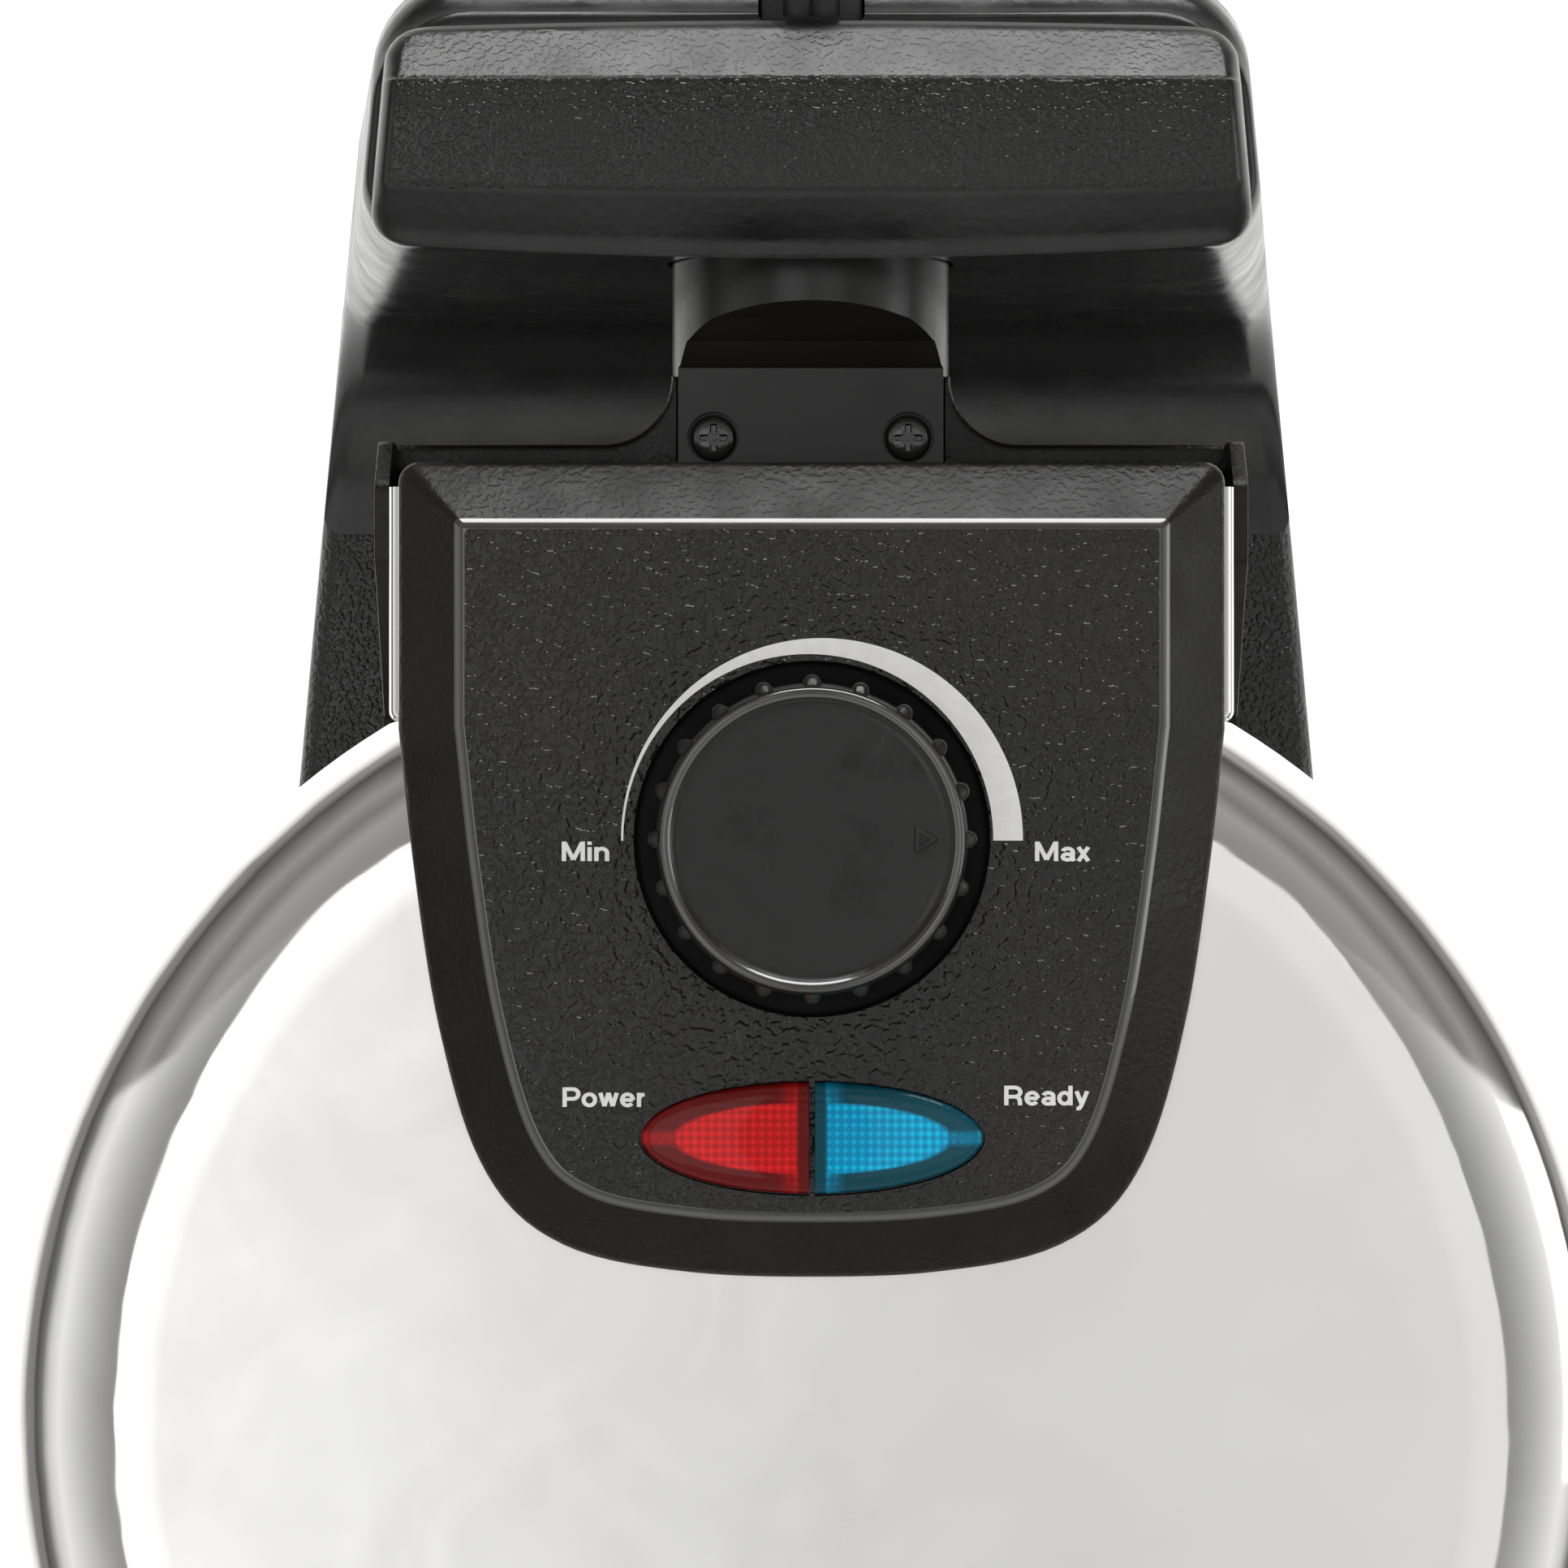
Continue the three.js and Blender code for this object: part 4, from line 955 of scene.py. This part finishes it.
def make_base():
    made = stand_block(0, 4, DECK, 2.6)
    tray_bay = plan((64.4, -100), (64.4, 78.4), (0, 3))
    under = stand_block(WALL, 3, 6.5)
    deck_room = common(stand_block(WALL, 3, 13.5), box((-90, 90), (81, 200), (2, 20)))
    bosses = rods(BASE_SCREWS[2:], 4, 6.6, 14, 32)
    join(cut(made, prism(tray_bay, 9, 20, 0, 1), under, deck_room), *bosses)
    stand_piece(cut(made, *rods(BASE_SCREWS, 2.2, 3, 12)), "stand_base", "base_housing")


def make_base_plate():
    """The plate under the stand, with two rows of vent slots."""
    slots = []
    for row in (70, 110):
        for x in range(-36, 37, 9):
            slots.append(prism(oblong((x - 1.5, x + 1.5), (row - 12, row + 12), 1.4, 3), 3, 8))
    made = cut(stand_block(2.8, 4, 6.2), *rods(BASE_SCREWS, 2.2, 3, 8), *slots)
    stand_piece(made, "stand_floor", "base_plate")


def make_feet():
    profile = [(0, 0.4), (3, 0.4), (3.4, 0), (6.9, 0), (7.5, 0.3), (8.6, 1.2), (8.9, 2.4), (9, 3.7), (0, 3.7)]
    for number, at in enumerate(FEET, 1):
        made = turned(profile, 64, at)
        finish(made, f"pad_{number}", "stand", RUBBER, [f"foot_{number}"])


def post_section(z, inset=0.0):
    """The post's plan at a height: its front runs down a cove, and its rear corners are round."""
    foot = max(0, DECK + COVE_R - z)
    front = POST_FRONT - COVE_R + math.sqrt(max(0, COVE_R ** 2 - foot ** 2)) + inset
    front += 1.5 * max(0, (z - 153) / 3)
    back = between(POST_BACK, z) - inset
    swell = min(1, max(0, (z - DECK) / 60))
    near, far = side_half(front, z) - inset, side_half(back, z) - inset
    turns = (2.6 + 5.4 * swell - inset / 2, STAND_CORNER - inset)
    return [(*p, z) for p in plan((near, front), (far, back), turns, 10)]


def post_loft(inset, heights):
    return loft([post_section(z, inset) for z in heights])


def cove_heights(foot, step):
    return [foot + COVE_R * (1 - math.cos(math.radians(a))) for a in range(6, 90, step)]


def make_post():
    heights = [DECK, *cove_heights(DECK, 7), 60, 80, 100, 120, 135, 147, 149.5, 152.2, 153.5]
    loops = [post_section(z) for z in heights]
    for z, inset in ((154.6, 0.12), (155.3, 0.4), (155.8, 0.9), (POST_TOP, 1.7), (POST_TOP, 2.6)):
        outline = [p[:2] for p in post_section(min(z, 154.8))]
        loops.append([(*p, z) for p in grown(outline, -inset)])
    made = loft(loops)
    room = post_loft(WALL, [DECK - 4, *cove_heights(DECK + 4, 12), 60, 100, 147, 152, 153.5])
    neck_hole = rod("y", (AXIS, 0), 18.8, 140, 160, 128)
    under_cap = box((-48, 48), (156, 172), (150, 160), 1)
    cord_slot = box((-6.8, 6.8), (178.6, 184.8), (145, 160), 1.2)
    cut(made, room, neck_hole, under_cap, cord_slot, rear_opening(0))
    stand_piece(made, "post", "post_housing", STAND_SMOOTH)


def rear_slot(low, high, half, r, steps=6):
    """A block through the post's back between two heights."""
    return prism(oblong((low, high), (-half, half), r, steps), 178, 200, along="y")


def rear_opening(gap):
    return rear_slot(26 + gap, 142 - gap, 46 - gap, 4)


def make_rear_cover():
    """The cover in the post's back, with seven vent slots."""
    made = post_loft(0, [20, 50, 80, 110, 147])
    common(cut(made, post_loft(WALL, [18, 50, 80, 110, 149])), rear_opening(0.3))
    slots = [rear_slot(z - 1.4, z + 1.4, 26, 1.3, 3) for z in range(46, 89, 7)]
    stand_piece(cut(made, *slots), "post_back", "post_rear_cover")


def cap_half(y):
    return WING_HALF - 2.4 * (y - CAP_FRONT) / (CAP_BACK - CAP_FRONT)


def bowed(x, y, z):
    """The cap's front edge bows forwards in its middle, and its back edge a little backwards."""
    return x, y + (2 - 3 * (y - CAP_FRONT) / (CAP_BACK - CAP_FRONT)) * (x / 56) ** 2, z


def cap_finish(centre, normal):
    """The top is grained and the slope behind it satin, inside a smooth border."""
    inside = abs(centre.x) < cap_half(centre.y) - CAP_BORDER and 156.6 < centre.y < 177 and normal.z > 0.4
    behind = centre.y > 170.6 + 0.3 * (centre.x / 56) ** 2
    return (2 if behind else 0) if inside else 1


def make_cap():
    """The faceted cap: rows across it, front to back, with round corners and sides that fall to its lip."""
    corner = 4.6
    ends = (0, 0.05, 0.2, 0.5, 1, 1.6, 2.4, 3.4, corner)
    rows = {CAP_FRONT + d for d in ends} | {CAP_BACK - d for d in ends} | {y for y, z in CAP_SECTION}
    rows |= {CAP_FRONT + 0.75 * k for k in range(7, 34)}
    ins = (0, 0.12, 0.3, 0.6, 1, 1.5, 2.1, CAP_BORDER, 2.7, 4, 7, 12, 20, 30, 42)
    grid = []
    for y in sorted(rows):
        half = cap_half(y)
        end = min(y - CAP_FRONT, CAP_BACK - y)
        if end < corner:
            half -= corner - math.sqrt(corner ** 2 - (corner - end) ** 2)
        rise = between(CAP_SECTION, y) - CAP_LIP
        right = [(half - d, y, CAP_LIP + rise * between(CAP_SIDE, d)) for d in ins if d < half - 3]
        grid.append([(-x, y, z) for x, y, z in right] + right[::-1])
    points = [p for row in grid for p in row]
    across = len(grid[0])
    faces = []
    for j in range(len(grid) - 1):
        for i in range(across - 1):
            a = j * across + i
            faces.append((a, a + 1, a + across + 1, a + across))
    edge = [j * across for j in range(len(grid))][::-1] + list(range(1, across))
    edge += [j * across + across - 1 for j in range(1, len(grid))]
    edge += [(len(grid) - 1) * across + i for i in range(across - 2, 0, -1)]
    lower = list(range(len(points), len(points) + len(edge)))
    points += [(points[i][0], points[i][1], POST_TOP + 0.3) for i in edge]
    made = body_of_points("cap", [bowed(*p) for p in points], [*faces, *skin([edge, lower]), lower])
    stand_piece(made, "cap", "post_cap", sharp=24)
    patched(made, (STAND_SMOOTH, STAND_SATIN), cap_finish)


def make_relief():
    """The rubber block in the cord's slot."""
    profile = rounded([(178.9, 146, 0.5), (183.6, 146, 0.5), (184.3, 150.4, 0.8), (183, 152, 0.8),
                       (178.9, 153.2, 0.5)], 3)
    made = prism(profile, -6.5, 6.5, 0.5, 0.5, "x")
    finish(made, "cord_block", "stand", RUBBER, ["strain_relief"])


def sleeve(front, back, ease):
    """A ring on the neck, bored to clear it."""
    bore = rod("y", (0, 0), BUSH_BORE, front - 1, back + 1, 96)
    return cut(rod("y", (0, 0), 20.6, front, back, 96, ease), bore)


def make_bearings():
    for name, front, back in (("front_bush", 152.8, 160), ("rear_bush", 168.5, 176)):
        made = moved(sleeve(front, back, 0.4), z=AXIS)
        finish(made, f"{name}_ring", "stand", NYLON, [name])
    plate = prism(oblong((-34, 12), (-36, 36), 3), 170, 174, 0.3, 0.3, "y")
    horns = [box((s * 27.5 - 4.5, s * 27.5 + 4.5), (160.5, 170.1), (5.2, 11.9), 0.6) for s in SIDES]
    made = cut(join(plate, *horns), rod("y", (0, 0), 20.9, 165, 180, 96))
    finish(moved(made, z=AXIS), "bearing_plate", "stand", SHIELD, ["bearing_carrier"])
    made = join(sleeve(160.6, 165, 0.3), box((20.1, 30), (160.6, 165), (-4.5, 4.5), 0.6))
    cut(made, rod("y", (0, 0), BUSH_BORE, 159, 166, 96))
    bright_piece(made, "stop_collar", "head", "neck_collar")


def make_terminals():
    block = box((34, 52), (160, 174), (60, 70), 0.8)
    cut(block, *rods([(39, 167), (47, 167)], 2, 66, 71, 32))
    finish(block, "terminals", "stand", NYLON, ["terminal_block"])


def tray_block(inset, low, high, top, bottom):
    side = 64 - inset
    made = prism(stand_outline(inset), low, high, top, bottom)
    return common(made, box((-side, side), (-95, 78 - inset), (low - 1, high + 1)))


def make_tray():
    grip = prism(plan((22, -92), (24, -80), (5, 0)), 16, 19, 0.6, 0.6)
    made = join(tray_block(0, 9.3, 19, 0.6, 0.8), grip)
    cut(made, tray_block(2, 11, 24, 0, 1.6))
    finish(made, "drip_pan", "tray", STAND_BLACK, ["drip_tray"])


make_base()
make_base_plate()
make_feet()
make_post()
make_rear_cover()
make_cap()
make_relief()
make_bearings()
make_terminals()
make_tray()


# ---- the lower housing and the neck ----

def wing_plan():
    """Both wings, with fillets that run into the sides of the neck."""
    turn, fillet = WING_CORNER, WING_FILLET
    tip = arc(WING_HALF - turn, WING_BACK - turn, turn, turn, 0, 90, 8)
    root = arc(NECK_R + fillet, WING_BACK + fillet, fillet, fillet, -90, -180, 16)
    right = [(WING_HALF, NECK_FRONT + 0.2), *tip, *root]
    return [*right, *[(-x, y) for x, y in right[::-1]]]


def make_ear():
    outline = rounded([(86, -1, 0), (126, -1, 0), (126, 12, 2.5), (120, 18.5, 2.5), (110, 18.5, 2.5),
                       (106, 14.5, 2), (90.4, 2, 1), (90.4, -0.6, 0), (86, -0.6, 0)], 5)
    return prism(outline, 54.2, 56.1, 0.25, 0, "x")


def make_lower_housing():
    """The ring under the lid's, the tongue behind it, two wings, and an ear at each end of the hinge pin."""
    section = [(93.6, 0.5), (104.6, 0.5), (HEAD_R, 0.8), (HEAD_R, 9), (102.5, 9), (102.5, 5.5), (93.6, 5.5)]
    ring = mirrored(turned(section), DOWN)
    outline = plan((WING_HALF, 80), (WING_HALF, WING_BACK), (0, WING_CORNER), 8)
    tongue = cut(prism(outline, -HEAD_HALF, -0.5, 0, 1.6), rod("z", (0, 0), 93.3, -26, 0, 192))
    hollow = box((-TONGUE_HALF, TONGUE_HALF), (80, 119.5), (-22.5, 1), 1)
    room = cut(hollow, rod("z", (0, 0), 95.8, -23, 2, 192))
    wings = prism(wing_plan(), -22, LEDGE_Z, 0.9)
    neck_seat = rod("y", (0, 0), NECK_R + 0.25, NECK_FRONT - 0.2, 140, 128)
    wire_hole = rod("y", (-7.5, 0), 5, 115, 123, 32)
    made = join(cut(tongue, room), ring, wings, make_ear(), mirrored(make_ear(), (1, 0, 0)))
    holes = [hinge_bore(), grip_screw_hole(-GRIP_SCREW_Z), *rods(NECK_SCREWS, 1.8, -18.2, 0)]
    cut(made, neck_seat, wire_hole, *holes)
    finish(made, "housing", "head", FINE_BLACK, ["lower_housing"])


def make_neck():
    """A hollow tube with a flat ledge for two screws at its front end."""
    made = rod("y", (0, 0), NECK_R, NECK_FRONT, NECK_BACK, 160, 0.4)
    above = [(121, LEDGE_Z), (136, LEDGE_Z), *LEDGE_STEP, (143.9, 25), (121, 25)]
    bore = rod("y", (0, 0), 10, 142, NECK_BACK + 1, 64)
    channel = box((-5, 5), (NECK_FRONT - 1, 143), (-12, -3), 1)
    holes = map(join, rods(NECK_SCREWS, 1.8, -20, 6), rods(NECK_SCREWS, 3.4, 3.4, 6, 64))
    cut(made, prism(above, -20, 20, along="x"), bore, channel, *holes)
    finish(made, "neck", "head", SMOOTH_BLACK, ["neck_tube"])


def screw_body(head_r, head_t, shank_r, length):
    """A domed cross-headed screw. Its head stands on z = 0 and its shank points down."""
    ridges = []
    for k in range(int((length - 2) / 0.8)):
        z = 0.8 * k - length + 1
        ridges += [(0.88 * shank_r, z), (shank_r, z + 0.4)]
    dome = [(0.96, 0), (1, 0.1), (1, 0.45), (0.95, 0.66), (0.84, 0.82), (0.65, 0.94), (0.35, 0.99), (0, 1)]
    shank = [(0, -length), (0.5 * shank_r, -length), *ridges, (shank_r, -0.8), (shank_r, 0)]
    made = turned([*shank, *[(a * head_r, b * head_t) for a, b in dome]], 64)
    arm, half, span = 0.62 * head_r, 0.15 * head_r, (head_t - 1.1, 9)
    cross = box((-arm, arm), (-half, half), span, 0.5 * half)
    join(cross, box((-half, half), (-arm, arm), span, 0.5 * half), rod("z", (0, 0), 0.3 * head_r, *span, 32))
    return cut(made, cross)


def make_screws():
    for number, (x, y) in enumerate(NECK_SCREWS, 1):
        made = moved(screw_body(3, 1.9, 1.5, 21.4), x, y, 3.5)
        join(made, rod("z", (x, y), 0.34, 4, 5.2, 24))
        node = f"neck_screw_{number}"
        finish(made, f"ledge_screw_{number}", "head", SCREW_BLACK, [node], sharp=40)
    for number, (x, y) in enumerate(BASE_SCREWS, 1):
        made = moved(screw_body(3.2, 1.5, 1.6, 4.8), x, y, 3.7, ("X", 180))
        bright_piece(made, f"floor_screw_{number}", "stand", f"base_screw_{number}", sharp=40)
    for level, side, body in LEVELS:
        made = moved(screw_body(3.2, 2.4, 2, 16), 0, -100.9, GRIP_SCREW_Z * side, ("X", -90))
        bright_piece(made, f"{level}_grip_screw", body, f"{level}_handle_screw", sharp=40)


# ---- the handles and the latch ----

def curve_between(a, b, c, d, steps=12):
    """Points on a cubic curve, without its last."""
    a, b, c, d = map(Vector, (a, b, c, d))
    points = []
    for k in range(steps):
        t = k / steps
        u = 1 - t
        points.append(tuple(a * u ** 3 + 3 * b * t * u ** 2 + 3 * c * t * t * u + d * t ** 3))
    return points


def handle_block():
    flare = curve_between((-27, -96), (-25, -112), (-15.5, -116), (-15.2, -132))
    grip = curve_between((-15.2, -132), (-15, -146), (-16.6, -160), (-17, -175))
    left = [*flare, *grip, *arc(0, -175, 17, 17, 180, 270, 16)]
    made = prism([*left, *[(-x, y) for x, y in left[-2::-1]]], 1.2, 17, 4, 1.4, steps=6)
    grooves = [rod("x", (-156 - 5 * i, 17.6), 1.3, -11, 11, 24, 0.6) for i in range(5)]
    return cut(made, rod("z", (0, 0), HEAD_R + 0.3, 0, 20, 192), *grooves)


def handle_slot(front, back, low, high):
    return box((-7.3, 7.3), (front, back), (low, high), 0.6)


def make_handles():
    pin_hole = rod("x", (LATCH_Y, LATCH_Z), 1.8, -12.3, 12.3, 32)
    openings = [handle_slot(-150.8, -133, 0, 20), pin_hole, grip_screw_hole(GRIP_SCREW_Z, -119, -100, 32)]
    made = cut(handle_block(), *openings)
    finish(made, "upper_grip", "lid", HANDLE_BLACK, ["upper_handle"])
    pocket = join(handle_slot(-152.5, -138, -20, 3), handle_slot(-152.5, -132, -20, -7.5))
    made = cut(mirrored(handle_block(), DOWN), pocket, grip_screw_hole(-GRIP_SCREW_Z, -119, -100, 32))
    finish(made, "lower_grip", "head", HANDLE_BLACK, ["lower_handle"])


def make_latch():
    """The latch hangs from its pin, swung clear of the lower handle's lip."""
    outline = rounded([(-5, 11.5, 1.2), (-5, 9, 0.6), (-2.5, 7, 1), (-2.5, -20.5, 0.8), (3.5, -20.5, 1),
                       (6.5, -19.2, 0.8), (6.5, -17, 0.4), (2.5, -17, 0.8), (2.5, 7, 1), (4, 9, 0.6),
                       (4, 11.5, 1.2)], 4)
    made = cut(prism(outline, -6.8, 6.8, 0.35, 0.35, "x"), rod("x", (0, 0), 1.8, -8, 8, 32))
    grip_lines = [rod("x", (4.3, 9.6 + 0.9 * i), 0.3, -5, 5, 12) for i in (0, 1)]
    moved(cut(made, *grip_lines), y=LATCH_Y, z=LATCH_Z, turn=("X", -18))
    finish(made, "latch_bar", "latch", HANDLE_BLACK, ["latch"])
    bright_piece(rod("x", (LATCH_Y, LATCH_Z), 1.5, -12, 12, 32, 0.3), "latch_axle", "lid", "latch_pin")


# ---- the plates and what heats them ----

def cavity_ring(at, half, depth, base, lip=0.0):
    """A half torus on a flat base, round a place on a plate, with a lip round its mouth if it is cut out."""
    inner, outer = CAVITY_R - half, CAVITY_R + half
    crown = arc(CAVITY_R, 0, -half, depth, 0, 180, 24)[1:-1]
    profile = [(inner, base), *[p for p in crown if p[1] > base + 0.1], (outer, base)]
    if lip:
        inside = [(inner - lip, base), (inner - lip, 0), (inner - 0.3 * lip, 0.3 * lip)]
        outside = [(outer + 0.3 * lip, 0.3 * lip), (outer + lip, 0), (outer + lip, base)]
        profile = [*inside, *crown, *outside]
    return moved(turned(profile, 96, at), z=0.3)


def donut_plate():
    centres = arc(0, 0, CAVITY_OUT, CAVITY_OUT, 45, 315, 3)
    flange = rod("z", (0, 0), PLATE_R, 0.3, 3.3, 192, 0.3)
    backs = [cavity_ring(at, 14.5, 11.5, 1) for at in centres]
    fronts = [cavity_ring(at, 12.5, 9.5, -1, 0.5) for at in centres]
    return cut(join(flange, *backs), *fronts)


def heating_loop():
    """A sheathed ring behind the cavities, with both ends run out to the back."""
    loop = arc(0, 0, CAVITY_OUT, CAVITY_OUT, 105, 435, 48)
    start, end = ([(x, y + 22), (x, y + 8)] for x, y in (loop[0], loop[-1]))
    route = [(x, y, 15.6) for x, y in [*start, *loop, *end[::-1]]]
    return sweep(spline(route, 3), circle(0, 0, 2.9, 24))


def heat_shield():
    section = [(0, 19.8), (83.4, 19.8), (84.3, 19.5), (90.9, 12.1), (91.5, 12), (91.8, 12.4), (85.2, 20),
               (84.2, 20.6), (0, 20.6)]
    ribs = [turned([(r - 0.9, 20.5), (r - 0.5, 21), (r + 0.5, 21), (r + 0.9, 20.5)], 128) for r in (30, 60)]
    return join(turned(section, 128), *ribs)


def make_hot_parts():
    kinds = [
        (donut_plate, "plate", "casting", "non_stick", NON_STICK),
        (heating_loop, "element", "heater", "shaft_steel", SHAFT_STEEL),
        (heat_shield, "heat_shield", "reflector", "shield", SHIELD),
    ]
    for level, side, body in LEVELS:
        for make, node, name, slot, material in kinds:
            made = make()
            if side < 0:
                mirrored(made, DOWN)
            finish(made, f"{level}_{name}", body, material, [f"{level}_{node}"])


# ---- under the panel and in the hinge ----

def make_inner_parts():
    side = TONGUE_HALF - SHEET - 0.3
    pockets = [box((x - 16, x + 16), (105, 111), (1, 19), 1) for x in (-30, 30)]
    made = cut(box((-side, side), (106.2, TONGUE_END - 0.1), (3, 21.5), 0.8), hinge_bore(), *pockets)
    finish(made, "hinge_block", "lid", SMOOTH_BLACK, ["lid_hinge_yoke"])
    bright_piece(rod("x", (HINGE_Y, HINGE_Z), 2, -55.8, 55.8, 48, 0.4), "hinge_axle", "head", "hinge_pin")
    made = box((-13, 13), (KNOB_Y - 13, KNOB_Y + 13), (20.9, 30), 0.8)
    cut(made, box((-14, -7), (KNOB_Y - 14, KNOB_Y - 6), (20, 26)))
    finish(made, "thermostat_block", "lid", CERAMIC, ["thermostat"])
    for name, side in (("power", -1), ("ready", 1)):
        glass = rod("x", (LENS_Y, 28), 2.1, 10 * side - 7, 10 * side + 7, 32, 0.9)
        finish(glass, f"{name}_lamp_glass", "lid", LAMP_GLASS, [f"{name}_lamp"])


make_lower_housing()
make_neck()
make_screws()
make_handles()
make_latch()
make_hot_parts()
make_inner_parts()


# ---- floor and light ----

def make_floor():
    """A white table with a painted pool of light: brightest under the part and greyer far from it, and
    glowing most under the part, so that it also lights the part from below.
    """
    corners = [(x, y, -0.2) for x, y in oblong((-3000, 3000), (-3000, 3000))]
    made = body_of_points("floor", corners, [(0, 1, 2, 3)])
    material, tree, surface = shader("floor_painted_light_pool", (0.9, 0.9, 0.895), 0.6, Emission_Color=(1, 1, 0.995, 1))
    # Painted light: the colour greys and the glow fades away from the part.
    near = remap(tree, distance(tree, place(tree)), 0.35, 0.8, 1, 0)
    feed(surface, {
        "Base Color": ramp(tree, near, [(0, (0.3, 0.295, 0.29)), (1, (0.92, 0.92, 0.915))]),
        "Emission Strength": remap(tree, near, 0, 1, 0.02, 0.68),
    })
    made.data.materials.append(material)


def area_light(name, place_mm, aim_mm, size_mm, watts):
    data = bpy.data.lights.new(name, "AREA")
    data.shape = "RECTANGLE"
    data.size, data.size_y = (s * MM for s in size_mm)
    data.energy = watts
    lamp = bpy.data.objects.new(name, data)
    lamp.location = Vector(place_mm) * MM
    lamp.rotation_euler = (Vector(aim_mm) - Vector(place_mm)).to_track_quat("-Z", "Y").to_euler()
    bpy.context.scene.collection.objects.link(lamp)


def sky(tree, height, greys, tint):
    """A grey that follows the height of the direction looked in, from [height, grey] stops."""
    return ramp(tree, height, [(at, tuple(grey * share for share in tint)) for at, grey in greys])


def make_room():
    """The room that the steel mirrors: dim at the horizon, white above it, and greyer behind the part."""
    world = bpy.data.worlds.new("studio")
    world.use_nodes = True
    tree = world.node_tree
    direction = tree.nodes.new("ShaderNodeTexCoord").outputs["Generated"]
    split = add(tree, "SeparateXYZ", {"Vector": direction})
    height = split.outputs["Z"]
    greys = [(0, 0.1), (0.1, 0.2), (0.22, 0.68), (0.38, 0.93), (0.72, 0.5), (0.92, 0.27)]
    before = sky(tree, height, greys, (1, 1, 0.99))
    greys = [(0, 0.1), (0.14, 0.2), (0.32, 0.34), (0.5, 0.22), (0.64, 0.38), (0.9, 0.27)]
    behind = sky(tree, height, greys, (1, 0.985, 0.965))
    turn = remap(tree, split.outputs["Y"], 0.31, 0.335)
    feed(tree.nodes["Background"], {"Color": blended(tree, turn, before, behind)})
    bpy.context.scene.world = world


make_floor()
make_room()
bpy.context.scene.view_settings.view_transform = "Standard"
area_light("overhead_left", (-430, 0, 1600), (-430, 60, 0), (700, 1300), 2.9)
area_light("overhead_right", (430, 0, 1600), (430, 60, 0), (700, 1300), 1.7)
area_light("rear_card", (150, 1500, 560), (0, 60, 100), (1100, 600), 14)
area_light("right_card", (1400, 100, 420), (0, 60, 100), (700, 500), 1.6)
